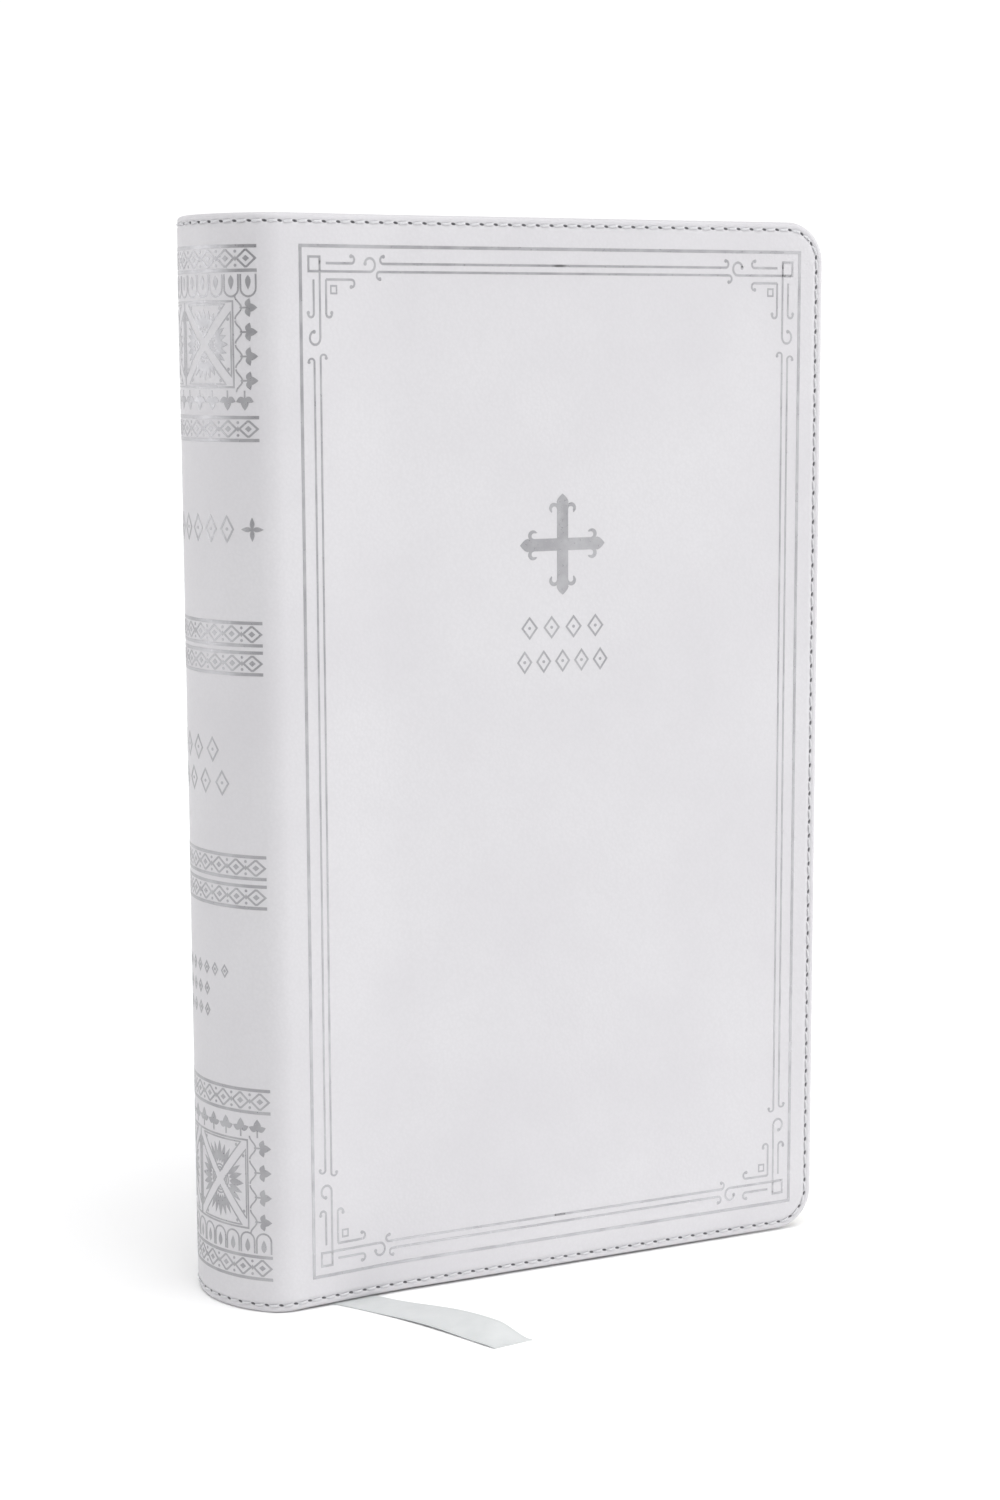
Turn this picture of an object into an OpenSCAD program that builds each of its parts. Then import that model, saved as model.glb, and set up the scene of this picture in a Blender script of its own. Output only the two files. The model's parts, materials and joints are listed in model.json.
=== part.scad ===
// Gift bible in a soft, leather-look case.
// The case has two stitched covers that swing on the spine's edges. Inside it is a rounded,
// sewn text block: its spine zone stays with the case's spine, and flyleaves, leaves and
// page sections fan out with the covers. A ribbon marker leaves the block at the tail.
//
// Millimetres. The book stands on its tail with Z up. The front cover faces -Y, the spine is
// at -X and the fore-edge at +X. The origin is at the middle of the base.

/* [Case] */
// Height of the case
case_h = 222; // [214:1:230]
// Width of the closed book, from the spine's apex to the fore-edge
case_w = 137.8; // [136:0.2:141]
// Thickness of the closed book over the flat part of the covers
case_t = 34.8; // [34.8:0.1:35.8]
// Extra thickness on each side where the covers meet the spine
swell = 1.6; // [0.8:0.1:2]
// Depth of the rounded spine, from its apex to the hinges
spine_depth = 13.3; // [13:0.1:14]
// Radius of the covers' outer corners
corner_r = 8.5; // [7:0.5:11]

/* [Cover layers] */
// Thickness of the outer skin
skin_t = 0.9; // [0.7:0.1:1]
// Thickness of the board inside a cover
board_t = 1.1; // [0.9:0.1:1.1]
// Thickness of the inner lining
lining_t = 0.35; // [0.2:0.05:0.35]
// Thickness of the pasted-down endpaper
paste_t = 0.15; // [0.1:0.05:0.15]
// Width of the turned-in rim that the stitching holds
rim_w = 2.6; // [2.4:0.1:3.5]

/* [Stitching] */
// Distance between stitches
stitch_pitch = 3.15; // [2.8:0.05:4]
// Length of one stitch
stitch_len = 2.2; // [1.6:0.1:2.4]
// Distance of the stitch line from the edge
stitch_in = 1.6; // [1.4:0.1:2]

/* [Text block] */
// Height that the covers stand out beyond the pages at the head and the tail
square_h = 3; // [2:0.5:4]
// Width of a leaf, from its fold to its fore-edge
leaf_w = 123; // [121:0.2:123.2]
// Depth of the block's rounding
round_depth = 7; // [6:0.5:7]
// Number of page sections in each half
half_sections = 6; // [6:1:6]
// Thickness of a page section
section_t = 2.18; // [2.05:0.01:2.18]
// Radius of the pages' outer corners
page_corner_r = 7; // [5:0.5:9]

/* [Ribbon] */
// Width of the ribbon marker
ribbon_w = 8.5; // [8:0.5:10]
// Thickness of the ribbon marker
ribbon_t = 0.2; // [0.1:0.05:0.2]
// Distance that the ribbon runs on the base before its cut end
ribbon_run = 63; // [40:1:90]

/* [Ornament] */
// Distance of the front border from the cover's head and tail edges
border_in = 6; // [5:0.5:8]
// Width of the border's outer rule
rule_w = 0.65; // [0.5:0.05:0.8]
// Width of the border's inner rules
fine_rule_w = 0.4; // [0.3:0.05:0.5]
// Span of the cross on the front cover
cross_span = 20; // [16:0.5:24]

/* [Hidden] */
$fn = 48;

// Places along X and half-thicknesses along Y
x_apex = -case_w / 2;
x_fore = case_w / 2;
x_hinge = x_apex + spine_depth;
hinge_gap = 0.15;
swell_run = 27;
x_flat = x_hinge + swell_run;
half_t = case_t / 2;
half_spine = half_t + swell;
big = 60;

// Spine outline: one large arc over the apex and a small arc at each hinge
shoulder_r = 8;
apex_r = (pow(spine_depth, 2) + pow(half_spine - shoulder_r, 2) - pow(shoulder_r, 2))
         / (2 * (spine_depth - shoulder_r));
x_apex_c = x_apex + apex_r;
y_shoulder = half_spine - shoulder_r;
shoulder_a = atan2(y_shoulder, x_apex_c - x_hinge);
inlay_t = 0.6;
inlay_in = 5;
foil_t = 0.06;
foil_reach = 8.8;

// The front cover's tail is lifted just enough for the ribbon to pass under it
front_lift = 0.4;

// Depths of the cover's layers below its outer face
rim_d = skin_t + board_t;
lining_d = rim_d + lining_t;
cover_d = lining_d + paste_t;

// Text block
z_tail = square_h;
z_head = case_h - square_h;
block_h = z_head - z_tail;
mid_gap = 0.25;
section_gap = 0.03;
section_step = section_t + section_gap;
leaf_gap = 0.05;
leaves_t = 0.3;
flyleaf_t = 0.2;
leaf_step = leaves_t + leaf_gap;
y_leaves = mid_gap + half_sections * section_step - section_gap + leaf_gap;
y_core = y_leaves + 3 * leaf_step;
x_pivot = x_hinge + 13;
pivot_step = 1.5;
root_half = 0.915;
root_run = 5;
core_gap = 0.6;
x_core = x_pivot - core_gap;
block_edge = x_apex + 4.5 + round_depth;
block_r = (pow(y_core, 2) + pow(round_depth, 2)) / (2 * round_depth);
x_block_c = block_edge - round_depth + block_r;
block_a = asin(y_core / block_r);
layer_a = block_a - 2;

// Layers on the block's spine
thread_t = 0.35;
mull_t = 0.3;
liner_t = 0.25;
thread_w = 0.5;
sewing_stations = 7;
band_r = 1;

// Ribbon
slot_x = x_hinge + 2.3;
ribbon_a = 27.6;

// Page edge in X at a depth y from the middle of the block
function x_page(y) = x_block_c - sqrt(pow(block_r, 2) - y * y) + leaf_w;
// Half-thickness of the case at x, larger towards the hinge
function half_at(x) = half_t + swell * max(0, x_flat - x) / swell_run;

skin_c = "gainsboro";
foil_c = "silver";
paper_c = "ivory";

// ---- shared shapes ----

// Outline with square inner corners and round outer corners, drawn in X and Z
module face_shape(x0, x1, z0, z1, r) {
    translate([x0, z0]) square([x1 - x0 - r, z1 - z0]);
    translate([x1 - r - 0.01, z0 + r]) square([r + 0.01, z1 - z0 - 2 * r]);
    for (z = [z0 + r, z1 - r]) translate([x1 - r, z]) circle(r);
}

// Anything drawn in X and Z, as a bar that runs through the book along Y
module through() {
    rotate([90, 0, 0]) linear_extrude(big, center = true) children();
}

// Section of a cover layer between two depths below the outer face
module layer_section(d0, d1, x0, x1) {
    polygon([[x0, -half_at(x0) + d0], [x_flat, -half_t + d0], [x1, -half_t + d0],
             [x1, -half_t + d1], [x_flat, -half_t + d1], [x0, -half_at(x0) + d1]]);
}

// One layer of a front cover, inset from its outer edges
module cover_layer(d0, d1, x0, inset, z0) {
    intersection() {
        linear_extrude(case_h) layer_section(d0, d1, x0, x_fore);
        through() face_shape(x0, x_fore - inset, z0 + inset, case_h - inset, corner_r - inset);
    }
}

// Area inside the spine's outline, drawn in X and Y, shrunk by a distance
module spine_area(shrink, x_end) {
    intersection() {
        translate([x_apex - 1, -big / 2]) square([x_end - x_apex + 1, big]);
        union() {
            intersection() {
                translate([x_apex_c, 0]) circle(apex_r - shrink, $fn = 96);
                polygon([[x_apex_c, 0], [x_apex_c - big * cos(shoulder_a), big * sin(shoulder_a)],
                         [x_apex_c - 2 * big, 0],
                         [x_apex_c - big * cos(shoulder_a), -big * sin(shoulder_a)]]);
            }
            for (side = [-1, 1]) translate([x_hinge, side * y_shoulder]) circle(shoulder_r - shrink);
            polygon([[x_apex_c, 0], [x_hinge, y_shoulder], [x_hinge + 1, y_shoulder],
                     [x_hinge + 1, -y_shoulder], [x_hinge, -y_shoulder]]);
            translate([x_hinge - 4, -y_shoulder]) square([5, 2 * y_shoulder]);
        }
    }
}

// Strip that follows the spine's outline between two depths
module spine_strip(d0, d1, x_end, z0, z1) {
    translate([0, 0, z0]) linear_extrude(z1 - z0) difference() {
        spine_area(d0, x_end);
        spine_area(d1, x_end + 2);
    }
}

// Strip that follows the rounded spine of the text block
module block_strip(d0, d1, z0, z1) {
    translate([x_block_c, 0, z0]) linear_extrude(z1 - z0) intersection() {
        difference() {
            circle(block_r + d1, $fn = 96);
            circle(block_r + d0, $fn = 96);
        }
        polygon([[0, 0], [-big * cos(layer_a), big * sin(layer_a)], [-2 * big, 0],
                 [-big * cos(layer_a), -big * sin(layer_a)]]);
    }
}

// ---- stitching ----

stitch_w = 0.45;
stitch_t = 0.25;
stitch_slant = 8;
groove_d = 0.3;
groove_half = 0.55;

// One stitch, lying along X on a face that looks to -Y
module stitch() {
    rotate([0, stitch_slant, 0])
        translate([-stitch_len / 2, -stitch_t, -stitch_w / 2])
            cube([stitch_len, stitch_t, stitch_w]);
}

// The stitch line runs along the tail, round a corner, up the fore-edge and back along the head
stitch_x0 = x_hinge + 2;
turn_r = corner_r - stitch_in;
function edge_run() = x_fore - corner_r - stitch_x0;
function turn_run() = turn_r * PI / 2;
function side_run(z0) = case_h - z0 - 2 * corner_r;
function line_run(z0) = 2 * edge_run() + 2 * turn_run() + side_run(z0);
// [x, z, direction] at a distance along the line
function line_at(s, z0) =
    s < edge_run() ? [stitch_x0 + s, z0 + stitch_in, 0]
    : s < edge_run() + turn_run() ?
        turn_at(x_fore - corner_r, z0 + corner_r, (s - edge_run()) / turn_run() * 90 - 90)
    : s < edge_run() + turn_run() + side_run(z0) ?
        [x_fore - stitch_in, z0 + corner_r + s - edge_run() - turn_run(), 90]
    : s < line_run(z0) - edge_run() ?
        turn_at(x_fore - corner_r, case_h - corner_r,
                (s - edge_run() - turn_run() - side_run(z0)) / turn_run() * 90)
    : [stitch_x0 + line_run(z0) - s, case_h - stitch_in, 180];
function turn_at(x, z, a) = [x + turn_r * cos(a), z + turn_r * sin(a), a + 90];
// Lean of the cover's face at x
function lean_at(x) = x < x_flat ? atan2(swell, swell_run) : 0;

// The stitches of a front cover, in its groove and on its lining
module cover_stitches(z0) {
    count = floor(line_run(z0) / stitch_pitch);
    step = line_run(z0) / count;
    for (i = [0 : count]) {
        p = line_at(i * step, z0);
        translate([p[0], -half_at(p[0]) + groove_d, p[1]])
            rotate([0, 0, lean_at(p[0])]) rotate([0, -p[2], 0]) stitch();
        translate([p[0], -half_at(p[0]) + lining_d, p[1]])
            rotate([0, 0, lean_at(p[0])]) mirror([0, 1, 0]) rotate([0, -p[2], 0]) stitch();
    }
}

// ---- ornament, drawn in X and Z from a corner of the border ----

hook_r = 0.6;
curl_r = 1;

// Straight rule along X
module rule(x0, x1, z, w) {
    translate([x0, z - w / 2]) square([x1 - x0, w]);
}

// Part of a ring that starts above its centre and turns clockwise through quarters
module curl(x, z, r, w, quarters) {
    translate([x, z]) difference() {
        circle(r + w / 2);
        circle(r - w / 2);
        if (quarters < 4) translate([-2 * r, 0]) square([2 * r, 2 * r]);
        if (quarters < 3) translate([-2 * r, -2 * r]) square([2 * r, 2 * r]);
    }
}

// Open square with its lower corner at a point
module open_square(x, z, side, w) {
    translate([x, z]) difference() {
        square(side);
        translate([w, w]) square(side - 2 * w);
    }
}

square_at = 2;
inner_rule = 3;
inner_rule_2 = 4.3;
arm_end = 14.9;
stub_start = 5.6;
stub_end = 11;
rules_start = 18.4;
upright_start = 22.8;
stretch_x = 1.04;
stretch_z = 1.22;

// One arm of the corner figure, along X, with the border's edge below it
module corner_arm() {
    w = fine_rule_w;
    rule(square_at, arm_end, inner_rule_2, w);
    curl(arm_end, inner_rule_2 - curl_r, curl_r, w, 3);
    rule(stub_start, stub_end, inner_rule, w);
    mirror([0, 1]) curl(stub_end, -inner_rule + hook_r, hook_r, w, 2);
    rule(stub_start, stub_end, stub_start, w);
    mirror([0, 1]) curl(stub_end, -stub_start - hook_r, hook_r, w, 2);
}

module corner_figure() {
    corner_arm();
    mirror([1, -1]) corner_arm();
    open_square(square_at, square_at, inner_rule_2 - square_at, fine_rule_w);
    open_square(stub_start + 0.8, stub_start + 0.8, 1.4, 0.35);
}

// The two fine rules along one side of the border, from a start at each end
module side_rules(length, start) {
    w = fine_rule_w;
    for (flip = [0, 1]) translate([flip * length, 0]) mirror([flip, 0]) {
        rule(start, length / 2 + 0.01, inner_rule, w);
        mirror([1, 0]) mirror([0, 1]) curl(-start, -inner_rule + hook_r, hook_r, w, 2);
        rule(start - 0.8, length / 2 + 0.01, inner_rule_2, w);
        mirror([1, 0]) curl(-start + 0.8, inner_rule_2 + hook_r, hook_r, w, 2);
    }
}

border_x0 = x_hinge + 3.7;
border_x1 = x_fore - 5.6;
border_w = border_x1 - border_x0;
border_h = case_h - 2 * border_in;

module border_shape() {
    translate([border_x0, border_in]) {
        open_frame(border_w, border_h, rule_w);
        for (fx = [0, 1], fz = [0, 1])
            translate([fx * border_w, fz * border_h]) mirror([fx, 0]) mirror([0, fz])
                scale([stretch_x, stretch_z]) corner_figure();
        for (fz = [0, 1]) translate([0, fz * border_h]) mirror([0, fz])
            scale([1, stretch_z]) side_rules(border_w, rules_start);
        for (fx = [0, 1]) translate([fx * border_w, 0]) mirror([fx, 0])
            scale([stretch_x, 1]) mirror([1, -1]) side_rules(border_h, upright_start);
    }
}

module open_frame(w, h, t) {
    difference() {
        square([w, h]);
        translate([t, t]) square([w - 2 * t, h - 2 * t]);
    }
}

cross_x = 6.4;
cross_z = 0.7 * case_h;
cross_arm_w = 2.5;
tip_len = 3;
barb_r = 0.95;

// Upper arm of the cross: a bar, a pointed tip and two hooked barbs
module cross_arm(length) {
    neck = length - tip_len;
    translate([-cross_arm_w / 2, 0]) square([cross_arm_w, neck]);
    translate([0, neck]) polygon([[-cross_arm_w / 2, -0.2], [-cross_arm_w / 2 - 0.1, 0.9],
                                  [-0.35, 2.2], [0, tip_len], [0.35, 2.2],
                                  [cross_arm_w / 2 + 0.1, 0.9], [cross_arm_w / 2, -0.2]]);
    for (flip = [0, 1]) mirror([flip, 0]) translate([cross_arm_w / 2 + 0.6, neck - 0.6])
        difference() {
            circle(barb_r + 0.3);
            circle(barb_r - 0.45);
            translate([-3, -3]) square([6, 2.8]);
        }
}

module cross_shape() {
    half = cross_span / 2;
    translate([cross_x, cross_z]) for (turn = [0 : 3])
        rotate(90 * turn) cross_arm(turn % 2 == 0 ? half * 1.05 : half * 0.98);
}

lozenge_w = 3;
lozenge_h = 4.2;

// Open lozenge with a dot in it, in place of a letter
module lozenge() {
    difference() {
        scale_diamond(lozenge_w, lozenge_h);
        scale_diamond(lozenge_w - 1.1, lozenge_h - 1.5);
    }
    circle(0.3);
}

module scale_diamond(w, h) {
    polygon([[-w / 2, 0], [0, h / 2], [w / 2, 0], [0, -h / 2]]);
}

// Count, height below the cross and step of each row
title_rows = [[4, -17.2, 5.1], [5, -24.3, 4.4]];

// Two centred rows of lozenges below the cross
module title_shape() {
    for (row = title_rows) for (i = [0 : row[0] - 1])
        translate([cross_x + (i - (row[0] - 1) / 2) * row[2], cross_z + row[1]]) lozenge();
}

// Groove along the stitch line of a front cover
module stitch_groove(z0) {
    difference() {
        cover_layer(-1, groove_d, x_hinge - 1, stitch_in - groove_half, z0);
        cover_layer(-2, groove_d + 1, x_hinge - 2, stitch_in + groove_half, z0);
    }
}

// Foil on the front cover's outer face
module front_foil() {
    intersection() {
        linear_extrude(case_h) layer_section(-foil_t, 0, x_hinge + 1, x_fore);
        through() children();
    }
}

// ---- covers ----

module cover_leather(z0) {
    difference() {
        cover_layer(0, rim_d, x_hinge + hinge_gap, 0, z0);
        cover_layer(skin_t, rim_d + 1, x_hinge - 1, rim_w, z0);
        stitch_groove(z0);
    }
}

module cover_board(z0) {
    cover_layer(skin_t, rim_d, x_hinge + 4, rim_w + 0.1, z0);
}

module cover_lining(z0) {
    cover_layer(rim_d, lining_d, x_hinge + hinge_gap + 0.2, 0.6, z0);
}

module cover_pastedown(z0) {
    cover_layer(lining_d, cover_d, x_hinge + 1, 3.4, z0);
}

module front_cover_leather() { color(skin_c) cover_leather(front_lift); }
module front_board() { color("tan") cover_board(front_lift); }
module front_lining() { color("whitesmoke") cover_lining(front_lift); }
module front_pastedown() { color(paper_c) cover_pastedown(front_lift); }
module front_stitching() { color("white") cover_stitches(front_lift); }
module front_border_foil() { color(foil_c) front_foil() border_shape(); }
module front_cross_foil() { color(foil_c) front_foil() cross_shape(); }
module front_title_ornament() { color(foil_c) front_foil() title_shape(); }

module back_cover_leather() { color(skin_c) mirror([0, 1, 0]) cover_leather(0); }
module back_board() { color("tan") mirror([0, 1, 0]) cover_board(0); }
module back_lining() { color("whitesmoke") mirror([0, 1, 0]) cover_lining(0); }
module back_pastedown() { color(paper_c) mirror([0, 1, 0]) cover_pastedown(0); }
module back_stitching() { color("white") mirror([0, 1, 0]) cover_stitches(0); }

// ---- spine of the case ----

module spine_leather() {
    color(skin_c) difference() {
        spine_strip(0, skin_t, x_hinge - hinge_gap, 0, case_h);
        for (z = [stitch_in, case_h - stitch_in])
            spine_strip(-1, groove_d, x_hinge, z - groove_half, z + groove_half);
    }
}

module spine_inlay() {
    color("tan") spine_strip(skin_t, skin_t + inlay_t, x_hinge - inlay_in, z_tail, z_head);
}

// Stitches across the spine, one row near the tail and one near the head
module spine_stitching() {
    big_step = stitch_pitch / apex_r * 180 / PI;
    big_count = floor((shoulder_a - 2) / big_step);
    small_step = stitch_pitch / shoulder_r * 180 / PI;
    color("white") for (z = [stitch_in, case_h - stitch_in]) {
        for (i = [-big_count : big_count])
            translate([x_apex_c, 0, z]) rotate([0, 0, i * big_step])
                translate([groove_d - apex_r, 0, 0]) rotate([0, 0, -90]) stitch();
        for (side = [-1, 1], i = [1, 2])
            translate([x_hinge, side * y_shoulder, z])
                rotate([0, 0, -side * (90 - (2.4 - i) * small_step)])
                    translate([groove_d - shoulder_r, 0, 0]) rotate([0, 0, -90]) stitch();
    }
}

// Heights of the rules that bound the spine's panels and bands, as shares of the height
spine_rules = [0.971, 0.950, 0.822, 0.802, 0.640, 0.620, 0.6135, 0.594,
               0.428, 0.408, 0.401, 0.381, 0.211, 0.190, 0.053, 0.032];

module spine_foil() {
    color(foil_c) for (share = spine_rules)
        spine_strip(-foil_t, 0, x_apex + foil_reach, share * case_h - rule_w / 2,
                    share * case_h + rule_w / 2);
}

// ---- spine zone of the text block ----

// Half of the zone's outline, stepped back where the flyleaf and the leaves pivot
function core_side(s) = [
    [x_apex, s * y_core],
    [x_pivot - 4 * pivot_step - 0.1, s * y_core],
    [x_pivot - 3 * pivot_step - 0.1, s * (y_core - leaf_step)],
    [x_pivot - 2 * pivot_step - 0.1, s * (y_core - 2 * leaf_step)],
    [x_pivot - pivot_step - 0.1, s * (y_core - 3 * leaf_step)],
    [x_core, s * (y_core - 3 * leaf_step - 0.4)],
    [x_core, 0],
    [x_apex, 0]];

module sewn_folds() {
    color(paper_c) translate([0, 0, z_tail]) linear_extrude(block_h) difference() {
        intersection() {
            translate([x_block_c, 0]) circle(block_r, $fn = 96);
            union() for (s = [-1, 1]) polygon(core_side(s));
        }
        translate([slot_x - ribbon_w / 2 - 0.5, -mid_gap]) square([big, 2 * mid_gap]);
    }
}

module sewing_thread() {
    color("white") for (i = [1 : sewing_stations]) {
        z = z_tail + block_h * i / (sewing_stations + 1);
        block_strip(0, thread_t, z - thread_w / 2, z + thread_w / 2);
    }
}

module mull() {
    color("wheat") block_strip(thread_t, thread_t + mull_t, z_tail + 6, z_head - 6);
}

module spine_liner() {
    d0 = thread_t + mull_t;
    color("burlywood") block_strip(d0, d0 + liner_t, z_tail + 3, z_head - 3);
}

// Rolled bead that sits on the head or the tail of the block, along its rounded spine
module band(z) {
    translate([x_block_c, 0, z]) rotate([0, 0, 180 - layer_a])
        rotate_extrude(angle = 2 * layer_a, $fn = 96)
            translate([block_r - band_r, 0]) circle(band_r, $fn = 24);
}

module head_band() { color("white") band(z_head + band_r); }
module tail_band() { color("white") band(z_tail - band_r); }

// The ribbon lies in the block's middle opening, leaves it at the tail and runs out flat on the
// base under the front cover
module ribbon_marker() {
    tip = [slot_x + ribbon_run * sin(ribbon_a), -ribbon_run * cos(ribbon_a)];
    side = [cos(ribbon_a), sin(ribbon_a)] * ribbon_w / 2;
    color("snow") {
        translate([slot_x - ribbon_w / 2, -ribbon_t / 2, 0]) cube([ribbon_w, ribbon_t, z_head]);
        linear_extrude(ribbon_t) polygon([[slot_x - ribbon_w / 2, ribbon_t / 2],
                                          [slot_x + ribbon_w / 2, ribbon_t / 2],
                                          tip + side, tip - side]);
    }
}

// ---- leaves and sections ----

// A sheet or block of pages, drawn in X and Y, cut to the page's height with round corners
module pages(x0, x1) {
    intersection() {
        translate([0, 0, z_tail]) linear_extrude(block_h) children();
        through() face_shape(x0 - 1, x1, z_tail, z_head, page_corner_r);
    }
}

// Thin leaves of a front half, the number-th from the sections out
module leaves(number, t) {
    x0 = x_pivot - number * pivot_step;
    y0 = y_leaves + (number - 1) * leaf_step;
    x1 = x_page(y_core);
    pages(x0, x1) translate([x0, -y0 - t]) square([x1 - x0, t]);
}

// The number-th section of a front half, counted from the middle, with a thin root
module section(number) {
    y0 = mid_gap + (number - 1) * section_step;
    y1 = y0 + section_t;
    ym = (y0 + y1) / 2;
    pages(x_pivot, x_page(y1)) polygon([
        [x_pivot, -ym + root_half], [x_pivot + root_run, -y0], [x_page(y0), -y0],
        [x_page(y1), -y1], [x_pivot + root_run, -y1], [x_pivot, -ym - root_half]]);
}

module front_section(number) { color(paper_c) section(number); }
module back_section(number) { color(paper_c) mirror([0, 1, 0]) section(number); }
module front_leaves(number) { color(paper_c) leaves(number, leaves_t); }
module back_leaves(number) { color(paper_c) mirror([0, 1, 0]) leaves(number, leaves_t); }
module front_flyleaf() { color(paper_c) leaves(4, flyleaf_t); }
module back_flyleaf() { color(paper_c) mirror([0, 1, 0]) leaves(4, flyleaf_t); }

spine_leather();
spine_inlay();
spine_stitching();
spine_foil();
sewn_folds();
sewing_thread();
mull();
spine_liner();
head_band();
tail_band();
ribbon_marker();
front_cover_leather();
front_board();
front_lining();
front_pastedown();
front_stitching();
front_border_foil();
front_cross_foil();
front_title_ornament();
back_cover_leather();
back_board();
back_lining();
back_pastedown();
back_stitching();
front_flyleaf();
front_leaves(3);  // front_leaves_a
front_leaves(2);  // front_leaves_b
front_leaves(1);  // front_leaves_c
front_section(6);  // section_01
front_section(5);  // section_02
front_section(4);  // section_03
front_section(3);  // section_04
front_section(2);  // section_05
front_section(1);  // section_06
back_section(1);  // section_07
back_section(2);  // section_08
back_section(3);  // section_09
back_section(4);  // section_10
back_section(5);  // section_11
back_section(6);  // section_12
back_leaves(1);  // back_leaves_c
back_leaves(2);  // back_leaves_b
back_leaves(3);  // back_leaves_a
back_flyleaf();
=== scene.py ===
import json
import math
import random

import bmesh
import bpy
import numpy as np
from mathutils import Matrix, Vector
from mathutils.geometry import tessellate_polygon


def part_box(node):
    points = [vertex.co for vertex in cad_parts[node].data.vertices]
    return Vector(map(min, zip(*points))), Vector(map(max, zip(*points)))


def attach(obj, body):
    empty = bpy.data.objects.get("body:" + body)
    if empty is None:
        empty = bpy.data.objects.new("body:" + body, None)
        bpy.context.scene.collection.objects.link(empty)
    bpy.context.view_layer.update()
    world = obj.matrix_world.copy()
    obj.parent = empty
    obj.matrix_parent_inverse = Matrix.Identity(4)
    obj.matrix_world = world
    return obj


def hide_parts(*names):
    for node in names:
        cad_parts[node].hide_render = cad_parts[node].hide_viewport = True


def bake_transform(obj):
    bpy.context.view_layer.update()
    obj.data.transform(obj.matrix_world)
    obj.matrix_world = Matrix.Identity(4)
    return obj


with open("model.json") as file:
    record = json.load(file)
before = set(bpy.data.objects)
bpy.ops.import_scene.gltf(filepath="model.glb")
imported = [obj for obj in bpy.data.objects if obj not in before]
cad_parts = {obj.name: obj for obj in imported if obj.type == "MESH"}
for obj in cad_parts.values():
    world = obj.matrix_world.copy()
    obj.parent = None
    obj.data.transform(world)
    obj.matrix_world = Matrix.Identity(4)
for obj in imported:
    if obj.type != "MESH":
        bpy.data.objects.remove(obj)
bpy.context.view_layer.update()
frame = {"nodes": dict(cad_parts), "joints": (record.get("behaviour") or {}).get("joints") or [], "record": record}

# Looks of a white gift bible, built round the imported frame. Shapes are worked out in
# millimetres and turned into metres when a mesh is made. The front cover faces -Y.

MM = 0.001
random.seed(7)


def box_mm(node):
    """Lowest and highest corner of a CAD node, in millimetres."""
    low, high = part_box(node)
    return low / MM, high / MM


# ---- sizes ----

joint_of = {joint["child"]: joint for joint in frame["joints"]}
mount_of = {mount["name"]: mount for mount in frame["record"]["mounts"]}

X_APEX = box_mm("spine_leather")[0].x
X_FORE = box_mm("back_cover_leather")[1].x
CASE_H = box_mm("spine_leather")[1].z
FRONT_LIFT = box_mm("front_cover_leather")[0].z
X_HINGE = joint_of["front_cover"]["pos_m"][0] / MM
HALF_T = mount_of["back_cover_rest"]["pos_m"][1] / MM
CORNER_R = 8.5

# The case is thicker at the hinges by this much a side. It runs out over a stretch of the cover
SWELL = 1.6
SWELL_RUN = 27
HALF_SPINE = HALF_T + SWELL

# Layers of the case: depths below the skin's face, and the width of its turned-in rim
SKIN_D = 0.9
RIM_D = 2.0
LINING_D = 2.35
RIM_W = 2.6

# Outline of the spine: one large arc and a small arc at each hinge
SPINE_DEPTH = X_HINGE - X_APEX
SHOULDER_R = 8
Y_SHOULDER = HALF_SPINE - SHOULDER_R
APEX_R = ((SPINE_DEPTH ** 2 + Y_SHOULDER ** 2 - SHOULDER_R ** 2)
          / (2 * (SPINE_DEPTH - SHOULDER_R)))
SHOULDER_A = math.atan2(Y_SHOULDER, X_APEX + APEX_R - X_HINGE)

# Distances round the case from the apex of the spine
SHOULDER_U = APEX_R * SHOULDER_A
HINGE_U = SHOULDER_U + SHOULDER_R * (math.pi / 2 - SHOULDER_A)
FORE_U = HINGE_U + X_FORE - X_HINGE

# Stitching: distance of the line from the edge, pitch, and mesh steps from hole to hole
STITCH_IN = 1.6
STITCH_PITCH = 3.15
STEPS = 8
HOLE_DEPTH = 0.42

# Text block: the rounded spine has the radius BLOCK_R about BLOCK_X
Z_TAIL = box_mm("section_01")[0].z
PAGE_R = 7
Y_CORE = -box_mm("front_flyleaf")[1].y
ROUND_DEPTH = 7
BLOCK_GAP = 4.5
BLOCK_R = (Y_CORE ** 2 + ROUND_DEPTH ** 2) / (2 * ROUND_DEPTH)
BLOCK_X = X_APEX + BLOCK_GAP + BLOCK_R
LEAF_W = box_mm("front_flyleaf")[1].x - X_APEX - BLOCK_GAP - ROUND_DEPTH


# ---- the case's surface ----

# The skin's unevenness fades out over this distance from an edge
FADE = 12


def smooth(t):
    """Eases from 0 to 1."""
    t = np.clip(t, 0, 1)
    return t * t * (3 - 2 * t)


def ripple(u, z):
    """Slow unevenness of the padded skin, in millimetres."""
    waves = [(0.071, 0.043, 0.4, 0.016), (-0.052, 0.088, 1.9, 0.012),
             (0.118, 0.021, 3.1, 0.010), (0.035, -0.142, 5.2, 0.009)]
    return sum(size * np.sin(a * u + b * z + phase) for a, b, phase, size in waves)


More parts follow.
